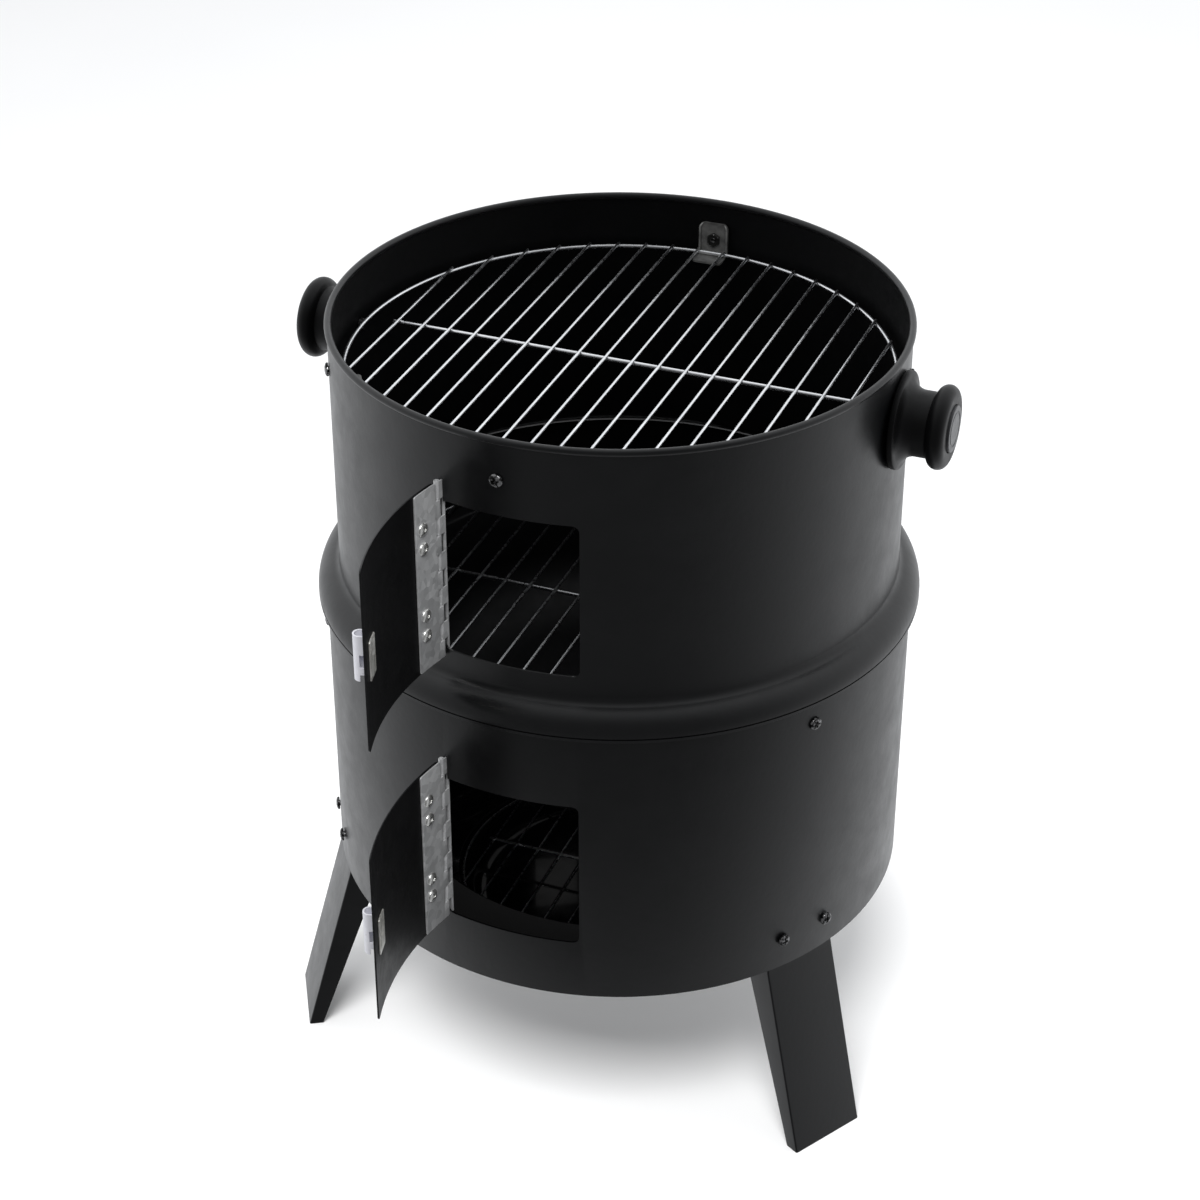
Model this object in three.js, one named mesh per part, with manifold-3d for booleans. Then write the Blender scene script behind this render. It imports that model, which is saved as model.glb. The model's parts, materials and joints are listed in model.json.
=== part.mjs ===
// Vertical charcoal water smoker: a firebox ring on three splayed legs, a smoking ring that lifts
// off it, a hinged access door in each ring, bowls and grates stacked inside.
// Millimetres, +Z up. While it is built, the rings' common axis is the Z axis, the ground is z = 0
// and both doors are at the front (-Y). The finished assembly is then moved so that the origin is
// the bottom centre of its bounding box.

import * as THREE from 'three';
import { mergeVertices } from 'three/addons/utils/BufferGeometryUtils.js';
import Module from 'manifold-3d';

const wasm = await Module();
wasm.setup();

// ---- Driving dimensions -------------------------------------------------------------------------

const GAP = 0.3; // air left between pieces that touch on the real object
const SHEET = 1.2; // wall of the rings, brackets and bowls
const RING_SEGMENTS = 72;
const BOWL_SEGMENTS = 48;

const UPPER_RADIUS = 180; // outer radius of the smoking ring
const LOWER_RADIUS = 189; // outer radius of the firebox ring
const SKIRT_RADIUS = 194.3; // widest radius of the flared skirt of the smoking ring
const GROUND_CLEARANCE = 132; // underside of the firebox ring
const LOWER_TOP = 342.2; // top edge of the firebox ring, hidden under the skirt
const SKIRT_BOTTOM = 329.8;
const UPPER_TOP = 519.1;
const FLARE_HEIGHT = 23.5; // start of the skirt's flare above its lower edge
const FLARE_FILLET = 6; // outer radius of the hollow bend, where the wall turns outwards
const FLARE_TURN = 70; // degrees through which the wall flares out and back
const RIM_BEAD_RADIUS = 2.3; // rolled edge at the top of the smoking ring

const OPENING_RIGHT = 13.6; // bearing of the doorways' right edge, degrees
const OPENING_CORNER = 5;
const DOOR_HEIGHT = 121.5;
const DOOR_CHORD = 108.5; // from the hinge axis to the free edge
const DOOR_SHEET = 1;
const DOOR_OPEN_ANGLE = 91.5; // how far both doors stand open at rest, degrees
const PANEL_START = 3.2; // from the hinge axis, along the shut door
const PANEL_STAND_OFF = 1.5; // inner face of a shut door, from the ring's outer face
const LEAF_STAND_OFF = 0.4;
const AXIS_STAND_OFF = 2.4; // hinge axis, from the ring's outer face

const HINGE_KNUCKLES = 10;
const KNUCKLE_RADIUS = 1.8;
const PIN_RADIUS = 0.8;
const LEAF_SHEET = 0.8;
const LEAF_WIDTH = 24;
const LEAF_START = 3.5; // door leaf, from the hinge axis
const LEAF_HEIGHT = 120;
const LEAF_BELOW_TOP = 0.5; // top of the leaves under the door's top edge
const BODY_TAB = [1, 1.8]; // ring-side tabs through the doorway, sideways from the hinge axis
const BODY_LEAF_CLEARANCE = 0.5; // between the ring's inner face and the leaf on it

const LEG_BEARINGS = { front_right: 60, front_left: -60, rear: 180 };
const LEG_WIDTH = 55;
const LEG_SHEET = 1.5;
const LEG_FOOT_RADIUS = 220.7; // outer face of a foot on the ground
const LEG_TOP_RADIUS = 185.2; // outer face of a leg inside the firebox ring
const LEG_TAB_TOP = 163;
const LEG_FLANGE_TOP = 148.1; // the charcoal bowl's rim rests here
const LEG_FLANGE_AT_FOOT = 9.4;
const LEG_FLANGE_AT_TOP = 27;
const LEG_SCREW_HEIGHT = 153.5;
const LEG_SCREW_OFFSET = 18; // each side of the leg's middle

const UPPER_BRACKET_BEARINGS = { front: -2, left: -60, rear: 180, right: 100 };
const LOWER_BRACKET_BEARINGS = { front_right: 60, front_left: -60, rear: 180 };
const BRACKET_WIDTH = 20;
const BRACKET_HEIGHT = 21; // above its shelf
const BRACKET_SHELF = 18; // depth of the shelf
const BRACKET_CHEEK = 4; // depth of the folded sides
const BRACKET_SCREW_RISE = 9.8; // screw above the shelf

const SCREW_SHANK = 2;
const SCREW_HOLE = 2.5;
const SCREW_HEAD = 4.3;
const SCREW_SIDES = 8;
const NUT_RADIUS = 4;
const NUT_THICKNESS = 2.7;

const WIRE_RADIUS = 1.7; // rings and cross wires of the grates
const BAR_RADIUS = 1.3;
const WELD = 0.5; // how deep crossing wires sink into each other
const GRATE_RADIUS = 171.3; // middle of the ring wire of both cooking grates
const GRATE_BARS = 18;
const GRATE_PITCH = 17.69;
const CROSS_OVERHANG = 4.6; // cross wire past the outermost bars
const UPPER_GRATE_HEIGHT = 484;
const LOWER_GRATE_HEIGHT = 306.5;

const CHARCOAL_GRATE_RADIUS = 107.2;
const CHARCOAL_GRATE_BARS = 12;
const CHARCOAL_GRATE_PITCH = 16.8;
const CHARCOAL_GRATE_HEIGHT = 90;

// Bowls: the inner face runs from the mouth down to the wall's foot, then rounds into the floor.
const CHARCOAL_BOWL = {
	rimRadius: 175, mouthRadius: 138.5, footRadius: 110.3, footHeight: 95, floorRadius: 88, floor: 74.5,
};
const WATER_BOWL = {
	rimRadius: 177, mouthRadius: 158, footRadius: 150, footHeight: 268, floorRadius: 95, floor: 224,
};

const KNOB_HEIGHT = 477.5;
const KNOB_BEARINGS = { right: 90, left: -90 };
const KNOB_BASE_RADIUS = 30.4;
const KNOB_NECK_RADIUS = 20.4;
const KNOB_CAP_RADIUS = 26;
const KNOB_CAP_TUBE = 5.8;
const KNOB_DISC_RADIUS = 14.4;
const KNOB_FOOT_THICKNESS = 4.2;
const KNOB_WAIST = 13; // where the waist becomes straight, above the foot's seat
const KNOB_SEAT = UPPER_RADIUS + 0.4; // distances from the rings' axis
const KNOB_CAP_MIDDLE = 207.3;
const KNOB_RECESS = 1.4; // depth of the disc's recess
const KNOB_TIP = 214.5; // the disc's face
const KNOB_SCREW_REACH = 198;
const KNOB_BORE = 3;
const KNOB_SEGMENTS = 24;

const PULL_ARC = 94; // middle of the door pull, measured from the hinge along the door
const PULL_HEIGHT = 30;
const PULL_STAND_OFF = 8.5;
const PULL_SHEET = 1;
const PULL_FOOT = 7;
const PULL_CURL_RADIUS = 4.2;
const PULL_CURL_ANGLE = 200; // degrees round from the web
const PULL_NOTCH = [9, 17.5]; // heights above the pull's lower end
const PULL_TAIL = 4.3;
const CATCH_ARC = 92;
const CATCH_WIDTH = 12.5;
const CATCH_HEIGHT = 26;
const CATCH_DROP = 1; // middle of the catch plate under the middle of the pull

// One entry for each ring: its door, the opening behind it and the hinge at its left edge.
const DOORWAYS = {
	upper: {
		ring: UPPER_RADIUS, hinge: -14.4, openingLeft: -14.2, doorBottom: 361,
		openingBottom: 366, openingTop: 468.5, pull: 417.3,
	},
	lower: {
		ring: LOWER_RADIUS, hinge: -13.4, openingLeft: -13.6, doorBottom: 172.5,
		openingBottom: 174, openingTop: 278, pull: 228.5,
	},
};

// ---- Materials ----------------------------------------------------------------------------------

const finish = {
	blackEnamel: { color: 0x1b1c1f, roughness: 0.42, metalness: 0.2 },
	glossEnamel: { color: 0x0d0f12, roughness: 0.1, metalness: 0.1 },
	chrome: { color: 0xd8dadd, roughness: 0.15, metalness: 1 },
	dullSteel: { color: 0x4a4a49, roughness: 0.5, metalness: 0.7 },
	galvanised: { color: 0xa9adb0, roughness: 0.38, metalness: 0.9 },
	phenolic: { color: 0x121212, roughness: 0.35, metalness: 0 },
	blackZinc: { color: 0x1a1a1c, roughness: 0.4, metalness: 0.7 },
};

function material(name) {
	return new THREE.MeshStandardMaterial(finish[name]);
}

// ---- Helpers ------------------------------------------------------------------------------------

const degrees = THREE.MathUtils.degToRad;

// Polyline along a circle in the profile plane, from one angle to another.
function arcPoints(centreX, centreY, radius, fromDeg, toDeg, steps) {
	const points = [];
	for (let i = 0; i <= steps; i++) {
		const angle = degrees(fromDeg + ((toDeg - fromDeg) * i) / steps);
		points.push([centreX + radius * Math.cos(angle), centreY + radius * Math.sin(angle)]);
	}
	return points;
}

// Closed surface with merged vertices, no collapsed triangles, and its faces pointing out.
function closed(geometry) {
	const bare = geometry.clone();
	bare.deleteAttribute('normal');
	bare.deleteAttribute('uv');
	const merged = mergeVertices(bare, 1e-4);
	const corner = new THREE.Vector3();
	const second = new THREE.Vector3();
	const third = new THREE.Vector3();
	const kept = [];
	let volume = 0;
	for (let i = 0; i < merged.index.count; i += 3) {
		const [a, b, c] = [merged.index.getX(i), merged.index.getX(i + 1), merged.index.getX(i + 2)];
		if (a === b || b === c || c === a) continue;
		corner.fromBufferAttribute(merged.attributes.position, a);
		second.fromBufferAttribute(merged.attributes.position, b);
		third.fromBufferAttribute(merged.attributes.position, c);
		volume += corner.dot(second.cross(third));
		kept.push([a, b, c]);
	}
	const wound = volume < 0 ? kept.map(([a, b, c]) => [a, c, b]) : kept;
	merged.setIndex(wound.flat());
	return merged;
}

function toSolid(geometry) {
	const surface = closed(geometry);
	const vertProperties = new Float32Array(surface.attributes.position.array);
	const triVerts = new Uint32Array(surface.index.array);
	return new wasm.Manifold(new wasm.Mesh({ numProp: 3, vertProperties, triVerts }));
}

function toGeometry(solid) {
	const mesh = solid.getMesh();
	const geometry = new THREE.BufferGeometry();
	geometry.setAttribute('position', new THREE.BufferAttribute(new Float32Array(mesh.vertProperties), 3));
	geometry.setIndex(new THREE.BufferAttribute(new Uint32Array(mesh.triVerts), 1));
	return geometry;
}

function join(geometries) {
	return toGeometry(geometries.map(toSolid).reduce((sum, solid) => sum.add(solid)));
}

function cut(geometry, cutters) {
	return toGeometry(cutters.map(toSolid).reduce((rest, solid) => rest.subtract(solid), toSolid(geometry)));
}

// Body of revolution about Z from [radius, height] points.
function lathe(points, segments) {
	const profile = points.map(([radius, height]) => new THREE.Vector2(radius, height));
	return closed(new THREE.LatheGeometry(profile, segments).rotateX(Math.PI / 2));
}

function block(xFrom, xTo, yFrom, yTo, zFrom, zTo) {
	const box = new THREE.BoxGeometry(xTo - xFrom, yTo - yFrom, zTo - zFrom);
	return box.translate((xFrom + xTo) / 2, (yFrom + yTo) / 2, (zFrom + zTo) / 2);
}

// Curved strip of sheet: part of a tube about Z, between two bearings from the front.
function curvedSheet(innerRadius, outerRadius, fromBearing, toBearing, zFrom, zTo, steps) {
	const from = degrees(fromBearing - 90);
	const to = degrees(toBearing - 90);
	const shape = new THREE.Shape();
	shape.absarc(0, 0, outerRadius, from, to, false);
	shape.absarc(0, 0, innerRadius, to, from, true);
	const sheet = new THREE.ExtrudeGeometry(shape, {
		depth: zTo - zFrom, bevelEnabled: false, curveSegments: steps,
	});
	return closed(sheet.translate(0, 0, zFrom));
}

// Straight wire with a four-sided section that stands on its edge.
function wire(from, to, radius) {
	const start = new THREE.Vector3(...from);
	const direction = new THREE.Vector3(...to).sub(start);
	const rod = new THREE.CylinderGeometry(radius, radius, direction.length(), 4);
	const along = direction.clone().normalize();
	const turn = new THREE.Quaternion().setFromUnitVectors(new THREE.Vector3(0, 1, 0), along);
	return rod.applyQuaternion(turn).translate(...start.addScaledVector(direction, 0.5).toArray());
}

// A point of a ring at a bearing from the front, seen from above.
function onRing(radius, bearing) {
	return [radius * Math.sin(degrees(bearing)), -radius * Math.cos(degrees(bearing))];
}

// Something modelled at the front, facing -Y, carried round to its bearing.
function atBearing(geometry, bearing) {
	return geometry.rotateZ(degrees(bearing));
}

// Something modelled along +Z, laid down so that it points out through the front of a ring.
function pointingOut(geometry, sideways, height) {
	return geometry.rotateX(Math.PI / 2).translate(sideways, 0, height);
}

const assembly = new THREE.Group();

function add(name, geometry, finishName, parent = assembly) {
	const flat = geometry.index ? geometry.toNonIndexed() : geometry;
	flat.computeVertexNormals();
	const mesh = new THREE.Mesh(flat, material(finishName));
	mesh.name = name;
	parent.add(mesh);
	return mesh;
}

// ---- Screws and nuts ----------------------------------------------------------------------------

// Pan-head screw through a wall: distances are measured outwards from the rings' axis.
function screw(tip, seat) {
	const domeHeight = 2.4;
	return lathe([
		[0, tip], [SCREW_SHANK, tip], [SCREW_SHANK, seat], [SCREW_HEAD, seat],
		[SCREW_HEAD, seat + domeHeight / 2], [SCREW_HEAD * 0.6, seat + domeHeight], [0, seat + domeHeight],
	], SCREW_SIDES);
}

function nut(innerFace) {
	const shape = new THREE.Shape();
	for (let i = 0; i < 6; i++) {
		const angle = degrees(60 * i + 30);
		const corner = [NUT_RADIUS * Math.cos(angle), NUT_RADIUS * Math.sin(angle)];
		if (i === 0) shape.moveTo(...corner);
		else shape.lineTo(...corner);
	}
	shape.closePath();
	const hole = new THREE.Path();
	hole.absarc(0, 0, SCREW_SHANK + GAP, 0, Math.PI * 2, true);
	shape.holes.push(hole);
	const extrusion = { depth: NUT_THICKNESS, bevelEnabled: false, curveSegments: 4 };
	const ring = new THREE.ExtrudeGeometry(shape, extrusion);
	return closed(ring.translate(0, 0, innerFace));
}

// Cutter for a screw hole through anything near a ring's wall.
function hole(radius, nearFace, farFace) {
	const drill = new THREE.CylinderGeometry(radius, radius, farFace - nearFace, SCREW_SIDES);
	return drill.rotateX(Math.PI / 2).translate(0, 0, (nearFace + farFace) / 2);
}

function holeInRing(radius, height, bearing, sideways = 0, bore = SCREW_HOLE) {
	return atBearing(pointingOut(hole(bore, radius - 20, radius + 10), sideways, height), bearing);
}

// ---- Rings --------------------------------------------------------------------------------------

// Cutter for a doorway: a rounded rectangle pushed in from the front.
function doorway({ ring, openingLeft, openingBottom, openingTop }) {
	const left = ring * Math.sin(degrees(openingLeft));
	const right = ring * Math.sin(degrees(OPENING_RIGHT));
	const r = OPENING_CORNER;
	const shape = new THREE.Shape();
	shape.absarc(right - r, openingTop - r, r, 0, Math.PI / 2, false);
	shape.absarc(left + r, openingTop - r, r, Math.PI / 2, Math.PI, false);
	shape.absarc(left + r, openingBottom + r, r, Math.PI, Math.PI * 1.5, false);
	shape.absarc(right - r, openingBottom + r, r, Math.PI * 1.5, Math.PI * 2, false);
	const depth = 60;
	const plug = new THREE.ExtrudeGeometry(shape, { depth, bevelEnabled: false, curveSegments: 3 });
	return closed(plug.rotateX(Math.PI / 2).translate(0, -ring + depth / 2, 0));
}

// Notch above a doorway's left corner, for the topmost tab of the hinge leaf inside the ring.
function tabNotch(doorwayHere) {
	const { ring, hinge, openingTop } = doorwayHere;
	const [tabFrom, tabTo] = BODY_TAB;
	const clearance = 0.5;
	const { top } = leafHeights(doorwayHere);
	const notch = block(
		tabFrom - clearance, tabTo + clearance, -ring - SHEET, -ring + 2 * SHEET,
		openingTop - OPENING_CORNER, top + GAP,
	);
	return atBearing(notch, hinge);
}

// Smoking ring: straight wall, rolled rim on top, and a skirt that flares over the firebox ring.
function upperBody() {
	const inner = UPPER_RADIUS - SHEET;
	const fillet = FLARE_FILLET;
	const turn = FLARE_TURN;
	const flareTop = SKIRT_BOTTOM + FLARE_HEIGHT;
	const shoulder = (SKIRT_RADIUS - UPPER_RADIUS - fillet * (1 - Math.cos(degrees(turn))))
		/ (1 - Math.cos(degrees(turn)));
	const flareEnd = flareTop - fillet * Math.sin(degrees(turn));
	const shoulderHeight = flareEnd - shoulder * Math.sin(degrees(turn));
	const beadRadius = UPPER_RADIUS - 0.8;
	const beadHeight = UPPER_TOP - RIM_BEAD_RADIUS;
	const outside = [
		[SKIRT_RADIUS, SKIRT_BOTTOM],
		...arcPoints(SKIRT_RADIUS - shoulder, shoulderHeight, shoulder, 0, turn, 3),
		...arcPoints(UPPER_RADIUS + fillet, flareTop, fillet, 180 + turn, 180, 4).slice(1),
	];
	const bead = arcPoints(beadRadius, beadHeight, RIM_BEAD_RADIUS, -50, 225, 6);
	const inside = [
		...arcPoints(UPPER_RADIUS + fillet, flareTop, fillet + SHEET, 180, 180 + turn, 4),
		...arcPoints(SKIRT_RADIUS - shoulder, shoulderHeight, shoulder - SHEET, turn, 0, 3).slice(1),
		[SKIRT_RADIUS - SHEET, SKIRT_BOTTOM],
	];
	const wall = [[UPPER_RADIUS, bead[0][1] - 1]];
	const innerWall = [[inner, bead[0][1] - 1]];
	const profile = [...outside, ...wall, ...bead, ...innerWall, ...inside, outside[0]];
	const holes = Object.values(UPPER_BRACKET_BEARINGS)
		.map((bearing) => holeInRing(UPPER_RADIUS, upperShelf + BRACKET_SCREW_RISE, bearing));
	const knobHoles = Object.values(KNOB_BEARINGS)
		.map((bearing) => holeInRing(UPPER_RADIUS, KNOB_HEIGHT, bearing, 0, KNOB_BORE));
	const openings = [doorway(DOORWAYS.upper), tabNotch(DOORWAYS.upper)];
	return cut(lathe(profile, RING_SEGMENTS), [...openings, ...holes, ...knobHoles]);
}

// Firebox ring: a plain cylinder, open at both ends.
function lowerBody() {
	const inner = LOWER_RADIUS - SHEET;
	const profile = [
		[inner, GROUND_CLEARANCE], [LOWER_RADIUS, GROUND_CLEARANCE], [LOWER_RADIUS, LOWER_TOP],
		[inner, LOWER_TOP], [inner, GROUND_CLEARANCE],
	];
	const bracketHoles = Object.values(LOWER_BRACKET_BEARINGS)
		.map((bearing) => holeInRing(LOWER_RADIUS, lowerShelf + BRACKET_SCREW_RISE, bearing));
	const legHoles = Object.values(LEG_BEARINGS).flatMap((bearing) => [-1, 1]
		.map((side) => holeInRing(LOWER_RADIUS, LEG_SCREW_HEIGHT, bearing, side * LEG_SCREW_OFFSET)));
	const openings = [doorway(DOORWAYS.lower), tabNotch(DOORWAYS.lower)];
	return cut(lathe(profile, RING_SEGMENTS), [...openings, ...bracketHoles, ...legHoles]);
}

// ---- Legs ---------------------------------------------------------------------------------------

// Plate in the radial plane, given as [radius, height] corners, from one side position to another.
function radialPlate(corners, from, to) {
	const shape = new THREE.Shape(corners.map(([radius, height]) => new THREE.Vector2(radius, height)));
	const plate = new THREE.ExtrudeGeometry(shape, { depth: to - from, bevelEnabled: false });
	return closed(plate.rotateX(Math.PI / 2).rotateZ(-Math.PI / 2).translate(to, 0, 0));
}

// Folded channel that leans out to the foot, with an upright tab inside the firebox ring.
function leg() {
	const half = LEG_WIDTH / 2;
	const t = LEG_SHEET;
	const bend = GROUND_CLEARANCE;
	const back = radialPlate([
		[LEG_FOOT_RADIUS, 0], [LEG_TOP_RADIUS, bend], [LEG_TOP_RADIUS, LEG_TAB_TOP],
		[LEG_TOP_RADIUS - t, LEG_TAB_TOP], [LEG_TOP_RADIUS - t, bend], [LEG_FOOT_RADIUS - t, 0],
	], -half, half);
	const flange = [
		[LEG_FOOT_RADIUS - t / 2, 0], [LEG_TOP_RADIUS - t / 2, bend], [LEG_TOP_RADIUS - t / 2, LEG_FLANGE_TOP],
		[LEG_TOP_RADIUS - LEG_FLANGE_AT_TOP, LEG_FLANGE_TOP], [LEG_FOOT_RADIUS - LEG_FLANGE_AT_FOOT, 0],
	];
	const sides = [radialPlate(flange, -half, -half + t), radialPlate(flange, half - t, half)];
	const holes = [-1, 1].map((side) => pointingOut(
		hole(SCREW_HOLE, LEG_TOP_RADIUS - 10, LEG_TOP_RADIUS + 10), side * LEG_SCREW_OFFSET, LEG_SCREW_HEIGHT,
	));
	return cut(join([back, ...sides]), holes);
}

// Leg screw with its nut already run on, as one piece.
function legScrew() {
	const plate = LEG_TOP_RADIUS - LEG_SHEET;
	const reach = Math.sqrt(LOWER_RADIUS ** 2 - LEG_SCREW_OFFSET ** 2);
	const nutBody = lathe([
		[0, plate - GAP - NUT_THICKNESS], [NUT_RADIUS, plate - GAP - NUT_THICKNESS],
		[NUT_RADIUS, plate - GAP], [0, plate - GAP],
	], 6);
	return join([screw(plate - GAP - NUT_THICKNESS - 0.8, reach + GAP + 0.5), nutBody]);
}

function addLegs() {
	for (const [name, bearing] of Object.entries(LEG_BEARINGS)) {
		add(`leg_${name}`, atBearing(leg(), bearing), 'blackEnamel');
		for (const [sideName, side] of [['a', -1], ['b', 1]]) {
			const placed = pointingOut(legScrew(), side * LEG_SCREW_OFFSET, LEG_SCREW_HEIGHT);
			add(`leg_screw_${name}_${sideName}`, atBearing(placed, bearing), 'blackZinc');
		}
	}
}

// ---- Brackets -----------------------------------------------------------------------------------

const upperShelf = UPPER_GRATE_HEIGHT - WIRE_RADIUS - GAP;
const waterRimTop = LOWER_GRATE_HEIGHT - WIRE_RADIUS - GAP;
const lowerShelf = waterRimTop - SHEET - GAP;

// Distance of a bracket's back from the axis, so that its corners stay inside the ring's flats.
function bracketBack(ringRadius) {
	const innerFlat = (ringRadius - SHEET) * Math.cos(Math.PI / RING_SEGMENTS) - GAP;
	return Math.sqrt(innerFlat ** 2 - (BRACKET_WIDTH / 2) ** 2);
}

// Pressed bracket: back plate, a folded cheek on each side and a shelf at the bottom.
function bracket(ringRadius, shelfTop) {
	const back = bracketBack(ringRadius);
	const half = BRACKET_WIDTH / 2;
	const top = shelfTop + BRACKET_HEIGHT;
	const under = shelfTop - SHEET;
	const body = join([
		block(-half, half, -back, -back + SHEET, under, top),
		block(-half, -half + SHEET, -back, -back + BRACKET_CHEEK, under, top),
		block(half - SHEET, half, -back, -back + BRACKET_CHEEK, under, top),
		block(-half, half, -back, -back + BRACKET_SHELF, under, shelfTop),
	]);
	const bore = pointingOut(hole(SCREW_HOLE, back - 10, back + 10), 0, shelfTop + BRACKET_SCREW_RISE);
	return cut(body, [bore]);
}

function addBrackets(level, ringRadius, shelfTop, bearings) {
	const back = bracketBack(ringRadius);
	const nutFace = back - SHEET - GAP - NUT_THICKNESS;
	const height = shelfTop + BRACKET_SCREW_RISE;
	for (const [name, bearing] of Object.entries(bearings)) {
		const tag = `${level}_bracket`;
		add(`${tag}_${name}`, atBearing(bracket(ringRadius, shelfTop), bearing), 'dullSteel');
		const bolt = pointingOut(screw(nutFace - 0.4, ringRadius + GAP), 0, height);
		add(`${tag}_screw_${name}`, atBearing(bolt, bearing), 'blackZinc');
		add(`${tag}_nut_${name}`, atBearing(pointingOut(nut(nutFace), 0, height), bearing), 'dullSteel');
	}
}

// ---- Grates -------------------------------------------------------------------------------------

// Wire grate: a ring, parallel bars from front to back on top of it, and one cross wire below them.
function grate(ringRadius, barCount, pitch, height) {
	const ring = new THREE.TorusGeometry(ringRadius, WIRE_RADIUS, 4, BOWL_SEGMENTS).translate(0, 0, height);
	const barHeight = height + WIRE_RADIUS + BAR_RADIUS - WELD;
	const outermost = ((barCount - 1) / 2) * pitch;
	const bars = [];
	for (let i = 0; i < barCount; i++) {
		const x = i * pitch - outermost;
		const reach = Math.sqrt((ringRadius + WIRE_RADIUS / 2) ** 2 - x ** 2);
		bars.push(wire([x, -reach, barHeight], [x, reach, barHeight], BAR_RADIUS));
	}
	const cross = outermost + CROSS_OVERHANG;
	return join([ring, wire([-cross, 0, height], [cross, 0, height], WIRE_RADIUS), ...bars]);
}

// ---- Bowls --------------------------------------------------------------------------------------

// Sheet bowl with a flat rim, the top of which is at the given height.
function bowl({ rimRadius, mouthRadius, footRadius, footHeight, floorRadius, floor }, rimTop) {
	const inside = [[mouthRadius, rimTop]];
	const outside = [[mouthRadius + SHEET, rimTop - SHEET]];
	const curveSteps = 4;
	for (let i = 0; i <= curveSteps; i++) {
		const angle = (Math.PI / 2) * (i / curveSteps);
		const radius = floorRadius + (footRadius - floorRadius) * Math.cos(angle);
		const height = footHeight - (footHeight - floor) * Math.sin(angle);
		inside.push([radius, height]);
		outside.push([radius + SHEET * Math.cos(angle), height - SHEET * Math.sin(angle)]);
	}
	const rim = [[rimRadius, rimTop - SHEET], [rimRadius, rimTop]];
	const axisPoints = [[0, floor - SHEET], [0, floor]];
	return lathe([axisPoints[0], ...outside.reverse(), ...rim, ...inside, axisPoints[1]], BOWL_SEGMENTS);
}

// ---- Side knobs ---------------------------------------------------------------------------------

// Spool-shaped knob with a wide foot, a waist and a thick rounded cap, recessed for its disc.
function knob() {
	const footEdge = KNOB_SEAT + KNOB_FOOT_THICKNESS;
	const neck = KNOB_SEAT + KNOB_WAIST;
	const capFace = KNOB_CAP_MIDDLE + KNOB_CAP_TUBE;
	const recess = capFace - KNOB_RECESS;
	const chamfer = 0.6;
	const shoulder = KNOB_BASE_RADIUS - 1;
	const waistSteps = 3;
	const waist = [];
	for (let i = 0; i <= waistSteps; i++) {
		const angle = (Math.PI / 2) * (i / waistSteps);
		const radius = shoulder - (shoulder - KNOB_NECK_RADIUS) * Math.sin(angle);
		waist.push([radius, neck - (neck - footEdge - chamfer) * Math.cos(angle)]);
	}
	const cap = arcPoints(KNOB_CAP_RADIUS - KNOB_CAP_TUBE, KNOB_CAP_MIDDLE, KNOB_CAP_TUBE, -75, 90, 5);
	const body = lathe([
		[0, KNOB_SEAT], [KNOB_BASE_RADIUS, KNOB_SEAT], [KNOB_BASE_RADIUS, footEdge - chamfer], ...waist,
		[KNOB_NECK_RADIUS, cap[0][1]], ...cap, [KNOB_DISC_RADIUS + GAP, capFace],
		[KNOB_DISC_RADIUS + GAP, recess], [0, recess],
	], KNOB_SEGMENTS);
	return cut(body, [hole(KNOB_BORE, KNOB_SEAT - 5, KNOB_SEAT + 20)]);
}

function knobDisc() {
	const back = KNOB_CAP_MIDDLE + KNOB_CAP_TUBE - KNOB_RECESS + GAP;
	const bevel = 0.5;
	return lathe([
		[0, back], [KNOB_DISC_RADIUS, back], [KNOB_DISC_RADIUS, KNOB_TIP - bevel],
		[KNOB_DISC_RADIUS - bevel, KNOB_TIP], [0, KNOB_TIP],
	], KNOB_SEGMENTS);
}

// Screw from inside the ring into the knob: head, washer face and shank.
function knobScrew() {
	const seat = (UPPER_RADIUS - SHEET) * Math.cos(Math.PI / RING_SEGMENTS) - GAP;
	const shank = SCREW_SHANK + 0.4;
	return lathe([
		[0, seat - 3], [SCREW_HEAD * 0.7, seat - 3], [SCREW_HEAD, seat - 1.8], [SCREW_HEAD, seat],
		[shank, seat], [shank, KNOB_SCREW_REACH], [0, KNOB_SCREW_REACH],
	], SCREW_SIDES);
}

function addKnobs() {
	for (const [name, bearing] of Object.entries(KNOB_BEARINGS)) {
		add(`knob_${name}`, atBearing(pointingOut(knob(), 0, KNOB_HEIGHT), bearing), 'phenolic');
		add(`knob_disc_${name}`, atBearing(pointingOut(knobDisc(), 0, KNOB_HEIGHT), bearing), 'phenolic');
		add(`knob_screw_${name}`, atBearing(pointingOut(knobScrew(), 0, KNOB_HEIGHT), bearing), 'blackZinc');
	}
}

// ---- Doors --------------------------------------------------------------------------------------

// Angle in degrees that a length spans along a circle.
function spanned(length, radius) {
	return THREE.MathUtils.radToDeg(length / radius);
}

// Pivot group at a hinge's axis: what is added to it is modelled shut and swung open by the group.
function hingePivot(x, y) {
	const pivot = new THREE.Group();
	pivot.position.set(x, y, 0);
	pivot.rotation.z = -degrees(DOOR_OPEN_ANGLE);
	assembly.add(pivot);
	return pivot;
}

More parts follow.
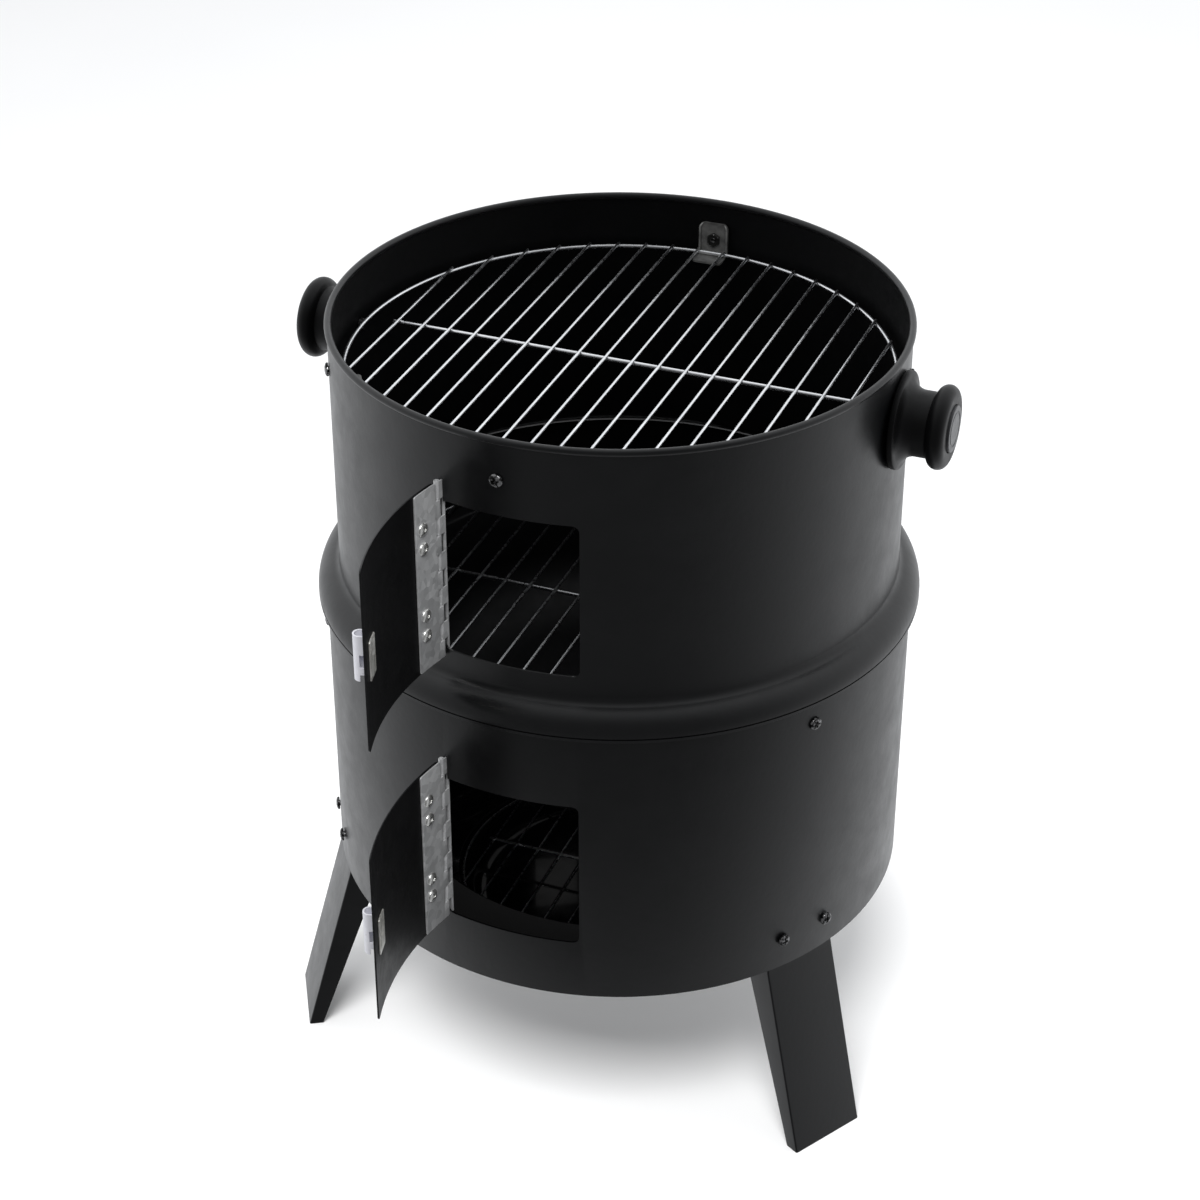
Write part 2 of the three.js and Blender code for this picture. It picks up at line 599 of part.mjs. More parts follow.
// Barrels of one leaf on the hinge's axis, every second one, with what ties each to the leaf.
function knuckles([axisX, axisY], { bottom, top }, first, tab) {
	const pitch = (top - bottom) / HINGE_KNUCKLES;
	const pieces = [];
	for (let i = first; i < HINGE_KNUCKLES; i += 2) {
		const from = bottom + i * pitch + GAP / 2;
		const to = bottom + (i + 1) * pitch - GAP / 2;
		const barrel = new THREE.CylinderGeometry(KNUCKLE_RADIUS, KNUCKLE_RADIUS, to - from, 10);
		pieces.push(barrel.rotateX(Math.PI / 2).translate(axisX, axisY, (from + to) / 2), tab(from, to));
	}
	return pieces;
}

function leafHeights({ doorBottom }) {
	const top = doorBottom + DOOR_HEIGHT - LEAF_BELOW_TOP;
	return { bottom: top - LEAF_HEIGHT, top };
}

function bored(pieces, [axisX, axisY], { bottom, top }) {
	const bore = new THREE.CylinderGeometry(PIN_RADIUS + GAP, PIN_RADIUS + GAP, top - bottom + 2, 6);
	return cut(join(pieces), [bore.rotateX(Math.PI / 2).translate(axisX, axisY, (top + bottom) / 2)]);
}

// Leaf on the inner face of a shut door.
function doorLeaf(doorwayHere, axis) {
	const { ring, hinge } = doorwayHere;
	const inner = ring + LEAF_STAND_OFF;
	const outer = inner + LEAF_SHEET;
	const heights = leafHeights(doorwayHere);
	const from = hinge + spanned(LEAF_START, ring);
	const to = hinge + spanned(LEAF_WIDTH, ring);
	const sheet = curvedSheet(inner, outer, from, to, heights.bottom, heights.top, 6);
	const tab = (low, high) => curvedSheet(inner, outer, hinge, from + spanned(1, ring), low, high, 1);
	return bored([sheet, ...knuckles(axis, heights, 0, tab)], axis, heights);
}

// Leaf on the inner face of the ring: its tabs reach out through the doorway to the barrels.
function bodyLeaf(doorwayHere, axis) {
	const { ring, hinge } = doorwayHere;
	const outer = ring - SHEET - BODY_LEAF_CLEARANCE;
	const inner = outer - LEAF_SHEET;
	const heights = leafHeights(doorwayHere);
	const [tabFrom, tabTo] = BODY_TAB;
	const far = hinge - spanned(LEAF_WIDTH, inner);
	const near = hinge + spanned(tabTo, inner);
	const sheet = curvedSheet(inner, outer, far, near, heights.bottom, heights.top, 6);
	const tab = (low, high) => atBearing(
		block(tabFrom, tabTo, -ring - AXIS_STAND_OFF, -inner - LEAF_SHEET / 4, low, high), hinge,
	);
	return bored([sheet, ...knuckles(axis, heights, 1, tab)], axis, heights);
}

// Finger pull on the door's outer face, a folded strip: foot, upright web and a curl back over the
// foot. The web is notched, and below the notch the strip narrows to the curl alone.
function doorPull(outerFace, { hinge, pull }) {
	const curl = PULL_CURL_RADIUS;
	const curlHeight = GAP + PULL_STAND_OFF - curl;
	const shape = new THREE.Shape();
	shape.moveTo(-PULL_FOOT, GAP);
	shape.lineTo(curl, GAP);
	shape.absarc(0, curlHeight, curl, 0, degrees(PULL_CURL_ANGLE), false);
	shape.absarc(0, curlHeight, curl - PULL_SHEET, degrees(PULL_CURL_ANGLE), 0, true);
	shape.lineTo(curl - PULL_SHEET, GAP + PULL_SHEET);
	shape.lineTo(-PULL_FOOT, GAP + PULL_SHEET);
	shape.closePath();
	const extrusion = { depth: PULL_HEIGHT, bevelEnabled: false, curveSegments: 7 };
	const strip = new THREE.ExtrudeGeometry(shape, extrusion);
	const notch = block(0, curl + 1, GAP + PULL_SHEET, curlHeight, PULL_NOTCH[0], PULL_NOTCH[1]);
	const tail = block(-PULL_FOOT - 1, curl + 1, 0, curlHeight, -1, PULL_TAIL);
	const folded = cut(strip, [notch, tail]).scale(1, -1, 1);
	folded.translate(0, -outerFace, pull - PULL_HEIGHT / 2);
	return closed(atBearing(folded, hinge + spanned(PULL_ARC, outerFace)));
}

function addDoor(level) {
	const doorwayHere = DOORWAYS[level];
	const { ring, hinge, doorBottom, pull } = doorwayHere;
	const axisRadius = ring + AXIS_STAND_OFF;
	const axis = onRing(axisRadius, hinge);
	const pivot = hingePivot(...axis);
	const hung = (geometry) => geometry.translate(-axis[0], -axis[1], 0);
	const panelInner = ring + PANEL_STAND_OFF;
	const panelOuter = panelInner + DOOR_SHEET;
	const doorTop = doorBottom + DOOR_HEIGHT;
	const freeEdge = hinge + 2 * THREE.MathUtils.radToDeg(Math.asin(DOOR_CHORD / 2 / axisRadius));
	const panelStart = hinge + spanned(PANEL_START, ring);
	const panel = curvedSheet(panelInner, panelOuter, panelStart, freeEdge, doorBottom, doorTop, 14);
	add(`${level}_door`, hung(panel), 'blackEnamel', pivot);
	add(`${level}_hinge_door_leaf`, hung(doorLeaf(doorwayHere, axis)), 'galvanised', pivot);
	add(`${level}_hinge_body_leaf`, bodyLeaf(doorwayHere, axis), 'galvanised');
	const heights = leafHeights(doorwayHere);
	const pin = new THREE.CylinderGeometry(PIN_RADIUS, PIN_RADIUS, LEAF_HEIGHT, 6).rotateX(Math.PI / 2);
	add(`${level}_hinge_pin`, pin.translate(...axis, (heights.bottom + heights.top) / 2), 'galvanised');
	add(`${level}_door_pull`, hung(doorPull(panelOuter, doorwayHere)), 'chrome', pivot);
	const catchBearing = hinge + spanned(CATCH_ARC, panelInner);
	const catchHalf = spanned(CATCH_WIDTH / 2, panelInner);
	const catchInner = ring + LEAF_STAND_OFF;
	const catchPlate = curvedSheet(
		catchInner, catchInner + LEAF_SHEET, catchBearing - catchHalf, catchBearing + catchHalf,
		pull - CATCH_DROP - CATCH_HEIGHT / 2, pull - CATCH_DROP + CATCH_HEIGHT / 2, 3,
	);
	add(`${level}_door_catch`, hung(catchPlate), 'galvanised', pivot);
}

// ---- Assembly -----------------------------------------------------------------------------------

add('lower_body', lowerBody(), 'blackEnamel');
add('upper_body', upperBody(), 'blackEnamel');
addLegs();
addBrackets('upper', UPPER_RADIUS, upperShelf, UPPER_BRACKET_BEARINGS);
addBrackets('lower', LOWER_RADIUS, lowerShelf, LOWER_BRACKET_BEARINGS);
add('upper_grate', grate(GRATE_RADIUS, GRATE_BARS, GRATE_PITCH, UPPER_GRATE_HEIGHT), 'chrome');
add('lower_grate', grate(GRATE_RADIUS, GRATE_BARS, GRATE_PITCH, LOWER_GRATE_HEIGHT), 'chrome');
add('water_bowl', bowl(WATER_BOWL, waterRimTop), 'glossEnamel');
add('charcoal_bowl', bowl(CHARCOAL_BOWL, LEG_FLANGE_TOP + GAP + SHEET), 'glossEnamel');
add('charcoal_grate', grate(
	CHARCOAL_GRATE_RADIUS, CHARCOAL_GRATE_BARS, CHARCOAL_GRATE_PITCH, CHARCOAL_GRATE_HEIGHT,
), 'chrome');
addKnobs();
addDoor('upper');
addDoor('lower');

// Origin at the bottom centre of the bounding box.
const bounds = new THREE.Box3().setFromObject(assembly);
const middle = bounds.getCenter(new THREE.Vector3());
assembly.position.set(-middle.x, -middle.y, -bounds.min.z);

const group = new THREE.Group();
group.add(assembly);
export default group;
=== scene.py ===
import json
import math

import bmesh
import bpy
from mathutils import Matrix, Vector

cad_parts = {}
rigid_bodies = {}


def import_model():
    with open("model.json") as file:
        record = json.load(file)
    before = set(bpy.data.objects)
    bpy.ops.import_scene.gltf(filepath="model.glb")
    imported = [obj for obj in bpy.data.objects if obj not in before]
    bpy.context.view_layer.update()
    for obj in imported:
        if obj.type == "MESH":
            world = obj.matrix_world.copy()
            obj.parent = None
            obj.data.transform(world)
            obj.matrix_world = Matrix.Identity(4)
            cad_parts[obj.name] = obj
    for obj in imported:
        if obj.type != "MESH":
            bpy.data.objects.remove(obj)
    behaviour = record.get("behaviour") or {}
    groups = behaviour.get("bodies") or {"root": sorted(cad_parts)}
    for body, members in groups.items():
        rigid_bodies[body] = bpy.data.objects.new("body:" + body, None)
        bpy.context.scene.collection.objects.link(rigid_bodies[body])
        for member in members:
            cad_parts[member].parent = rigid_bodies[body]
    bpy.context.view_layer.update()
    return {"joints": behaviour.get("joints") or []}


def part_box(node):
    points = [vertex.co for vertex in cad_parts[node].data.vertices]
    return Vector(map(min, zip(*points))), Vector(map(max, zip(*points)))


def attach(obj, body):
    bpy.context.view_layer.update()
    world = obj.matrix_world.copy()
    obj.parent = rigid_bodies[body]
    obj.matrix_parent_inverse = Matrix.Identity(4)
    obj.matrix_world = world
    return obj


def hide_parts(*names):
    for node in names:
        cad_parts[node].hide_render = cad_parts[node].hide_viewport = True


# Looks of a vertical water smoker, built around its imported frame. Pieces are modelled in millimetres
# about the rings' common axis, with the doors shut and at the front (-Y), and TO_FRAME then carries
# them into the frame. Bearings are degrees from the front, positive towards +X.

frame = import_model()

MM = 0.001
SHARP = math.radians(32)


def low(node):
    return (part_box(node)[0] - AXIS) / MM


def high(node):
    return (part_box(node)[1] - AXIS) / MM


ring_low, ring_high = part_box("lower_body")
AXIS = Vector(((ring_low.x + ring_high.x) / 2, (ring_low.y + ring_high.y) / 2, 0))
TO_FRAME = Matrix.Translation(AXIS) @ Matrix.Scale(MM, 4)
JOINTS = {j["name"]: j for j in frame["joints"]}

SHEET = 1.2
SKIRT_OVERHANG = 14.3
LOWER_R = high("lower_body").x
LOWER_BOTTOM = low("lower_body").z
LOWER_TOP = high("lower_body").z
SKIRT_R = high("upper_body").x
SKIRT_BOTTOM = low("upper_body").z
UPPER_TOP = high("upper_body").z
UPPER_R = SKIRT_R - SKIRT_OVERHANG
UPPER_SHELF = low("upper_bracket_rear").z + SHEET
LOWER_SHELF = low("lower_bracket_rear").z + SHEET
KNOB_HEIGHT = (low("knob_right").z + high("knob_right").z) / 2
LEG_SCREW_HEIGHT = (low("leg_screw_rear_a").z + high("leg_screw_rear_a").z) / 2
OPEN_ANGLE = -JOINTS["upper_door_hinge"]["range_deg"][0]

LEGS = {"front_right": 60, "front_left": -60, "rear": 180}
UPPER_BRACKETS = {"front": -2, "left": -60, "rear": 180, "right": 100}
KNOBS = {"right": 90, "left": -90}
# Ring radius, bearing of the left side, lower and upper edge.
DOORWAYS = {"upper": (UPPER_R, -14.2, 366, 468.5), "lower": (LOWER_R, -13.6, 174, 278)}
OPENING_RIGHT = 13.6
OPENING_CORNER = 5
RIVET_HEIGHTS = {"upper": (457.9, 444.7, 399.3, 385.6), "lower": (272.3, 258.4, 212.9, 199.9)}

# Turned shapes.
RING_SEGMENTS = 192
FLARE_HEIGHT, FLARE_FILLET, FLARE_TURN = 23.5, 6, 70
RIM_BEAD = 2.3
GROOVE_FROM, GROOVE_TO, GROOVE_DEPTH = 1.9, 2.9, 0.8

# Fasteners.
SHANK, HEAD, HEAD_HEIGHT = 2.0, 4.3, 2.4
NUT_THICKNESS, LEG_NUT, BRACKET_NUT = 2.7, 4.0, 4.7
NUT_CHAMFER, NUT_FACE = 0.45, 0.84

# Legs and brackets.
LEG_SHEET, LEG_HALF, LEG_BEND, LEG_SCREW_SIDE = 1.5, 27.5, 1.1, 18
FLANGE_TOP, TAB_TOP = 148.1, 163.0
LEG_FOOT, LEG_TOP, FLANGE_AT_FOOT, FLANGE_AT_TOP = 220.7, 185.2, 9.4, 27.0
BRACKET_HALF, BRACKET_BEND, BRACKET_CHEEK = 10.0, 1.8, 4.0
BRACKET_RISE, SHELF_DEPTH, BRACKET_SCREW_RISE = 21, 18, 9.8

# Grates.
WIRE_RISE = 1.4
COOKING_GRATE = {"ring_radius": 171.3, "bars": 18, "pitch": 17.69, "wire": 1.36, "bar": 0.98}
FIRE_GRATE = {"ring_radius": 107.2, "bars": 12, "pitch": 16.8, "wire": 1.15, "bar": 0.82}

# Bowls.
FIRE_BOWL = {"rim": 175, "mouth": 138.5, "foot": 110.3, "foot_z": 95, "floor_r": 88, "floor": 74.5}
WATER_PAN = {"rim": 177, "mouth": 158, "foot": 150, "foot_z": 268, "floor_r": 95, "floor": 224}

# Doors: gaps are from the ring's outer wall, places along the sheet from the hinge's bearing.
PANEL_GAP, PANEL_SHEET, PANEL_START, PANEL_CHORD = 1.5, 1.0, 3.2, 108.5
LEAF_GAP, LEAF_SHEET, LEAF_HEIGHT, LEAF_BELOW_TOP = 0.4, 0.8, 120, 0.5
KNUCKLES, KNUCKLE_GAP = 10, 0.15
KNUCKLE_R, PIN_R = 1.8, 0.8
DOOR_LEAF_SPAN, RING_LEAF_SPAN = (3.6, 24), (-23.6, 1.8)
RING_LEAF_INSET, RING_LEAF_FACE, TAB_SPAN = 2.5, 1.7, (1.0, 1.8)
DOOR_RIVET_AT, RING_RIVET_AT = 16.5, 15
PULL_AT, CATCH_AT, CATCH_HALF = 94, 92, 6.25


# ---- Meshes ---------------------------------------------------------------------------------------


def skin(rows, close_rows=False, close_points=True, cap=False):
    """Faces between neighbouring rows of points, each row a list of (x, y, z)."""
    bm = bmesh.new()
    grid = [[bm.verts.new(p) for p in row] for row in rows]
    count = len(grid[0])
    pairs = list(zip(grid, grid[1:])) + ([(grid[-1], grid[0])] if close_rows else [])
    for a, b in pairs:
        for j in range(count if close_points else count - 1):
            k = (j + 1) % count
            bm.faces.new((a[j], a[k], b[k], b[j]))
    if cap:
        bm.faces.new(list(reversed(grid[0])))
        bm.faces.new(grid[-1])
    bmesh.ops.remove_doubles(bm, verts=bm.verts, dist=1e-4)
    bmesh.ops.dissolve_degenerate(bm, edges=bm.edges, dist=1e-5)
    return bm


def lathe(profile, segments=96):
    """Closed body of revolution about Z from (radius, height) points: a loop, or from axis to axis."""
    on_axis = profile[0][0] < 1e-6 and profile[-1][0] < 1e-6
    turns = [2 * math.pi * i / segments for i in range(segments)]
    rows = [[(r * math.cos(t), r * math.sin(t), z) for t in turns] for r, z in profile]
    return skin(rows, close_rows=not on_axis)


def arc(x, y, radius, start, end, steps):
    """Points of a circle in the profile plane, from one angle in degrees to another."""
    angles = [math.radians(start + (end - start) * i / steps) for i in range(steps + 1)]
    return [(x + radius * math.cos(a), y + radius * math.sin(a)) for a in angles]


def rounded(points, radius, steps=3):
    """A closed outline with its corners rounded."""
    out = []
    for i, p in enumerate(points):
        here = Vector(p)
        back = (Vector(points[i - 1]) - here).normalized()
        on = (Vector(points[(i + 1) % len(points)]) - here).normalized()
        start, end = here + back * radius, here + on * radius
        for s in range(steps + 1):
            t = s / steps
            bend = start * (1 - t) ** 2 + here * (2 * t * (1 - t)) + end * t ** 2
            out.append(tuple(bend))
    return out


def prism(outline, z_from, z_to):
    """An outline in XY pushed up from one height to another."""
    return skin([[(x, y, z) for x, y in outline] for z in (z_from, z_to)], cap=True)


def brick(x, y, z, edge=0.0):
    """A block between (low, high) pairs, its upright edges rounded."""
    outline = [(x[0], y[0]), (x[1], y[0]), (x[1], y[1]), (x[0], y[1])]
    return prism(rounded(outline, edge) if edge else outline, *z)


def curved_plate(inner, outer, s_from, s_to, z_from, z_to, hinge, corner=3.0, edge=0.18):
    """Bent sheet with rounded corners. s runs along the circle in mm from a bearing."""
    middle = (inner + outer) / 2
    corner_steps, run_steps = 5, max(4, int(abs(s_to - s_from) / 4))
    columns = []
    for i in range(corner_steps + 1):
        a = math.pi / 2 * i / corner_steps
        columns.append((s_from + corner * (1 - math.cos(a)), corner * (1 - math.sin(a))))
    for i in range(1, run_steps):
        columns.append((s_from + corner + (s_to - s_from - 2 * corner) * i / run_steps, 0))
    for i in range(corner_steps + 1):
        a = math.pi / 2 * i / corner_steps
        columns.append((s_to - corner * (1 - math.sin(a)), corner * (1 - math.cos(a))))
    rows = []
    for s, inset in columns:
        b = math.radians(hinge) + s / middle
        section = rounded([(inner, z_from + inset), (outer, z_from + inset),
                           (outer, z_to - inset), (inner, z_to - inset)], edge, 2)
        rows.append([(r * math.sin(b), -r * math.cos(b), z) for r, z in section])
    return skin(rows, cap=True)


def tube(start, end, radius, sides=12):
    """Straight round wire with softened ends."""
    a, b = Vector(start), Vector(end)
    length = (b - a).length
    rim = [(radius * math.sin(t), radius * 0.5 * (1 - math.cos(t)))
           for t in (0, math.radians(35), math.radians(65), math.radians(90))]
    profile = rim + [(r, length - z) for r, z in reversed(rim)]
    bm = lathe(profile, sides)
    turn = (b - a).to_track_quat("Z", "Y").to_matrix().to_4x4()
    bm.transform(Matrix.Translation(a) @ turn)
    return bm


def merge(parts):
    """One mesh from several, which keep their own surfaces."""
    out = bmesh.new()
    for part in parts:
        mesh = bpy.data.meshes.new("part")
        part.to_mesh(mesh)
        part.free()
        out.from_mesh(mesh)
        bpy.data.meshes.remove(mesh)
    return out


def moved(bm, matrix):
    bm.transform(matrix)
    return bm


def cut(bm, cutters):
    """What is left of a closed mesh once the cutters are taken away."""
    objects = []
    for name, source in (("body", bm), ("tool", merge(cutters))):
        bmesh.ops.recalc_face_normals(source, faces=source.faces)
        mesh = bpy.data.meshes.new(name)
        source.to_mesh(mesh)
        source.free()
        objects.append(bpy.data.objects.new(name, mesh))
        bpy.context.scene.collection.objects.link(objects[-1])
    body, tool = objects
    modifier = body.modifiers.new("cut", "BOOLEAN")
    modifier.object = tool
    modifier.operation = "DIFFERENCE"
    modifier.solver = "EXACT"
    graph = bpy.context.evaluated_depsgraph_get()
    result = body.evaluated_get(graph).to_mesh()
    out = bmesh.new()
    out.from_mesh(result)
    body.evaluated_get(graph).to_mesh_clear()
    for o in objects:
        mesh = o.data
        bpy.data.objects.remove(o)
        bpy.data.meshes.remove(mesh)
    return out


def turned(bearing):
    return Matrix.Rotation(math.radians(bearing), 4, "Z")


def tipped(angle):
    return Matrix.Rotation(math.radians(angle), 4, "X")


def facing_out(bearing, sideways, height):
    """Carries what is modelled along +Z so that it points out of a ring at a bearing."""
    return turned(bearing) @ Matrix.Translation((sideways, 0, height)) @ tipped(90)


def piece(name, bm, material, body, nodes):
    """A finished object: smooth but for its sharp edges, in the frame, riding on its body."""
    bm.transform(TO_FRAME)
    bmesh.ops.recalc_face_normals(bm, faces=bm.faces)
    for face in bm.faces:
        face.smooth = True
    for edge in bm.edges:
        if len(edge.link_faces) == 2 and edge.calc_face_angle(0) > SHARP:
            edge.smooth = False
    mesh = bpy.data.meshes.new(name)
    bm.to_mesh(mesh)
    bm.free()
    for each in material if isinstance(material, tuple) else (material,):
        mesh.materials.append(each)
    obj = bpy.data.objects.new(name, mesh)
    bpy.context.scene.collection.objects.link(obj)
    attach(obj, body)
    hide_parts(*nodes)


# ---- Materials ------------------------------------------------------------------------------------


NOISE_RANGE = (0.3, 0.7)


def span_node(tree, low_in, high_in, low_out, high_out):
    """Map Range node from one pair of numbers to another."""
    node = tree.nodes.new("ShaderNodeMapRange")
    node.inputs["From Min"].default_value = low_in
    node.inputs["From Max"].default_value = high_in
    node.inputs["To Min"].default_value = low_out
    node.inputs["To Max"].default_value = high_out
    return node


class Finish:
    """A node material under construction, with textures laid out in metres."""

    def __init__(self, name, **sockets):
        self.material = bpy.data.materials.new(name)
        self.material.use_nodes = True
        self.tree = self.material.node_tree
        self.shader = self.tree.nodes["Principled BSDF"]
        self.place = self.tree.nodes.new("ShaderNodeTexCoord").outputs["Object"]
        self.height = None
        for socket, value in sockets.items():
            self.shader.inputs[socket.replace("_", " ")].default_value = value

    def link(self, source, target):
        self.tree.links.new(source, target)

    def noise(self, scale, detail=3.0, roughness=0.5, stretch=None):
        node = self.tree.nodes.new("ShaderNodeTexNoise")
        node.inputs["Scale"].default_value = scale
        node.inputs["Detail"].default_value = detail
        node.inputs["Roughness"].default_value = roughness
        self.link(self.stretched(stretch), node.inputs["Vector"])
        return node.outputs["Fac"]

    def cells(self, scale):
        node = self.tree.nodes.new("ShaderNodeTexVoronoi")
        node.inputs["Scale"].default_value = scale
        self.link(self.place, node.inputs["Vector"])
        return node

    def stretched(self, stretch):
        if stretch is None:
            return self.place
        node = self.tree.nodes.new("ShaderNodeMapping")
        node.inputs["Scale"].default_value = stretch
        self.link(self.place, node.inputs["Vector"])
        return node.outputs["Vector"]

    def span(self, value, start, end):
        node = span_node(self.tree, *NOISE_RANGE, start, end)
        self.link(value, node.inputs["Value"])
        return node.outputs["Result"]

    def colours(self, value, *stops):
        node = self.tree.nodes.new("ShaderNodeValToRGB")
        ramp = node.color_ramp
        while len(ramp.elements) < len(stops):
            ramp.elements.new(0.5)
        for element, (position, colour) in zip(ramp.elements, stops):
            element.position = position
            element.color = (*colour, 1)
        self.link(value, node.inputs["Fac"])
        self.link(node.outputs["Color"], self.shader.inputs["Base Color"])

    def rough(self, value, start, end):
        self.link(self.span(value, start, end), self.shader.inputs["Roughness"])

    def bump(self, value, strength, depth):
        node = self.tree.nodes.new("ShaderNodeBump")
        node.inputs["Strength"].default_value = strength
        node.inputs["Distance"].default_value = depth
        self.link(value, node.inputs["Height"])
        if self.height is not None:
            self.link(self.height, node.inputs["Normal"])
        self.height = node.outputs["Normal"]
        self.link(self.height, self.shader.inputs["Normal"])


def finish(name, tint, dark, light, grain, polish, bumps, stops=NOISE_RANGE, **sockets):
    """Two close tones, uneven roughness and bumps, each from a noise of (scale, detail, roughness)."""
    f = Finish(name, **sockets)
    f.colours(f.noise(*tint), (stops[0], dark), (stops[1], light))
    f.rough(f.noise(*grain), *polish)
    for texture, strength, depth in bumps:
        f.bump(f.noise(*texture), strength, depth)
    return f.material


# The tone factor darkens copies of the same chrome as painted shade: 0.46 on the lower cooking grate, 0.9
# on the fire grate.
def chrome_wire(name, shade_tone):
    dark, light = [[shade_tone * c for c in colour] for colour in ((0.80, 0.81, 0.83), (0.95, 0.96, 0.97))]
    return finish(name, (60, 3), dark, light, (240, 4), (0.24, 0.34), [((500, 2), 0.05, 0.0001)],
                  Metallic=1.0)


def galvanised():
    f = Finish("galvanised_steel_finish", Metallic=0.45, IOR=1.5)
    spangle = f.cells(230)
    f.colours(spangle.outputs["Color"], (0.1, (0.42, 0.425, 0.43)), (0.5, (0.52, 0.525, 0.53)),
              (0.9, (0.64, 0.645, 0.65)))
    f.rough(f.noise(120, 5, 0.7), 0.30, 0.52)
    f.bump(f.noise(420, 4), 0.25, 0.00025)
    f.bump(spangle.outputs["Distance"], 0.10, 0.0002)
    return f.material


def catch_plate():
    f = Finish("worn_catch_plate_finish", Metallic=0.8)
    patches = f.noise(150, 6, 0.7, stretch=(1, 1, 0.35))
    f.colours(patches, (0.36, (0.30, 0.29, 0.26)), (0.46, (0.72, 0.71, 0.66)),
              (0.58, (0.93, 0.92, 0.88)))
    f.rough(f.noise(400, 4), 0.28, 0.55)
    f.bump(patches, 0.6, 0.0006)
    return f.material


COAT = finish("black_powder_coat_finish", (9, 4), (0.0075, 0.0077, 0.0084), (0.0115, 0.0118, 0.0128),
              (55, 5, 0.65), (0.30, 0.40), [((260, 3), 0.16, 0.0004), ((1500, 2), 0.10, 0.00012)], IOR=1.5)
# Painted shade: a darker, less glossy copy of the black coat for the inner faces of the rings and door
# panels, where shade falls.
PAINTED_SHADE_INSIDE = finish("black_inner_coat_finish", (14, 4), (0.003, 0.003, 0.0034), (0.006, 0.006, 0.0066),
                (80, 5, 0.65), (0.45, 0.6), [((420, 3), 0.2, 0.0003)], IOR=1.3)
ENAMEL = finish("gloss_enamel_finish", (18, 3), (0.006, 0.006, 0.007), (0.011, 0.011, 0.013),
                (90, 4), (0.08, 0.16), [((45, 2), 0.12, 0.0008), ((700, 2), 0.04, 0.0001)],
                IOR=1.52, Coat_Weight=0.6, Coat_Roughness=0.04)
SATIN = finish("satin_enamel_finish", (18, 3), (0.003, 0.003, 0.0035), (0.006, 0.006, 0.007),
               (90, 4), (0.45, 0.6), [((300, 3), 0.12, 0.0003)], IOR=1.4)
# Lit and painted-shade copies of one chrome. The lower cooking grate's and the fire grate's are darkened as
# painted shade.
CHROME = {"upper": chrome_wire("chrome_wire_finish", 1.0), "lower": chrome_wire("smoked_wire_finish", 0.46),
          "fire": chrome_wire("fire_wire_finish", 0.9)}
ZINC = galvanised()
CATCH = catch_plate()
# The pulls' zinc is bright, and its near-white, mostly non-metallic colour is also a painted reflection of
# the white surroundings.
PULL_PAINTED_REFLECTION = finish("bright_zinc_plate_finish", (140, 4), (0.80, 0.80, 0.86), (0.90, 0.90, 0.95),
               (300, 4), (0.26, 0.42), [((1100, 3), 0.12, 0.0001)], Metallic=0.15, IOR=1.5)
DULL = finish("dull_bracket_steel_finish", (160, 5), (0.07, 0.07, 0.069), (0.17, 0.17, 0.166),
              (220, 4), (0.42, 0.62), [((500, 4), 0.2, 0.0002)], Metallic=0.6)
NUT = finish("blackened_nut_finish", (220, 4), (0.015, 0.015, 0.015), (0.04, 0.04, 0.039),
             (400, 3), (0.22, 0.4), [((900, 3), 0.15, 0.0001)], Metallic=0.85)
RIVET = finish("bright_rivet_finish", (300, 4), (0.62, 0.62, 0.60), (0.84, 0.84, 0.82),
               (600, 3), (0.22, 0.38), [((1300, 3), 0.15, 0.0001)], Metallic=0.9)
# Black screw heads. The light patches in their colour are painted glints.
SCREW_PAINTED_GLINTS = finish("black_screw_finish", (480, 3), (0.008, 0.008, 0.008), (0.24, 0.24, 0.245),
               (500, 3), (0.20, 0.34), [((1500, 3), 0.25, 0.0001)], stops=(0.46, 0.62), Metallic=0.75)
PHENOLIC = finish("black_phenolic_finish", (70, 5), (0.004, 0.004, 0.004), (0.007, 0.007, 0.008),
                  (110, 4), (0.38, 0.50), [((600, 3), 0.08, 0.00015)], IOR=1.34)
BADGE = finish("grey_badge_finish", (200, 4), (0.075, 0.077, 0.082), (0.105, 0.107, 0.113),
               (260, 4), (0.30, 0.42), [((900, 3), 0.08, 0.0001)], IOR=1.5)


# ---- Rings ----------------------------------------------------------------------------------------


def doorway(level):
    """The opening behind a door, with the notch above it for the topmost tab of the hinge."""
    ring, left_bearing, z_from, z_to = DOORWAYS[level]
    left, right = (ring * math.sin(math.radians(b)) for b in (left_bearing, OPENING_RIGHT))
    corners = [(left, z_from), (right, z_from), (right, z_to), (left, z_to)]
    outline = rounded(corners, OPENING_CORNER, 8)
    outside, inside = -ring - 20, -ring + 40
    rows = [[(x, y, z) for x, z in outline] for y in (outside, inside)]
    hinge = hinge_of(level)[0]
    notch_z = (z_to - OPENING_CORNER, high(f"{level}_door").z - 0.2)
    notch = brick((0.5, 2.3), (-ring - SHEET, -ring + 2 * SHEET), notch_z)
    return [skin(rows, cap=True), moved(notch, turned(hinge))]


def hinge_of(level):
    """Bearing of a door's hinge axis and its distance from the rings' axis."""
    pivot = (Vector(JOINTS[f"{level}_door_hinge"]["pos_m"]) - AXIS) / MM
    return math.degrees(math.atan2(pivot.x, -pivot.y)), math.hypot(pivot.x, pivot.y)


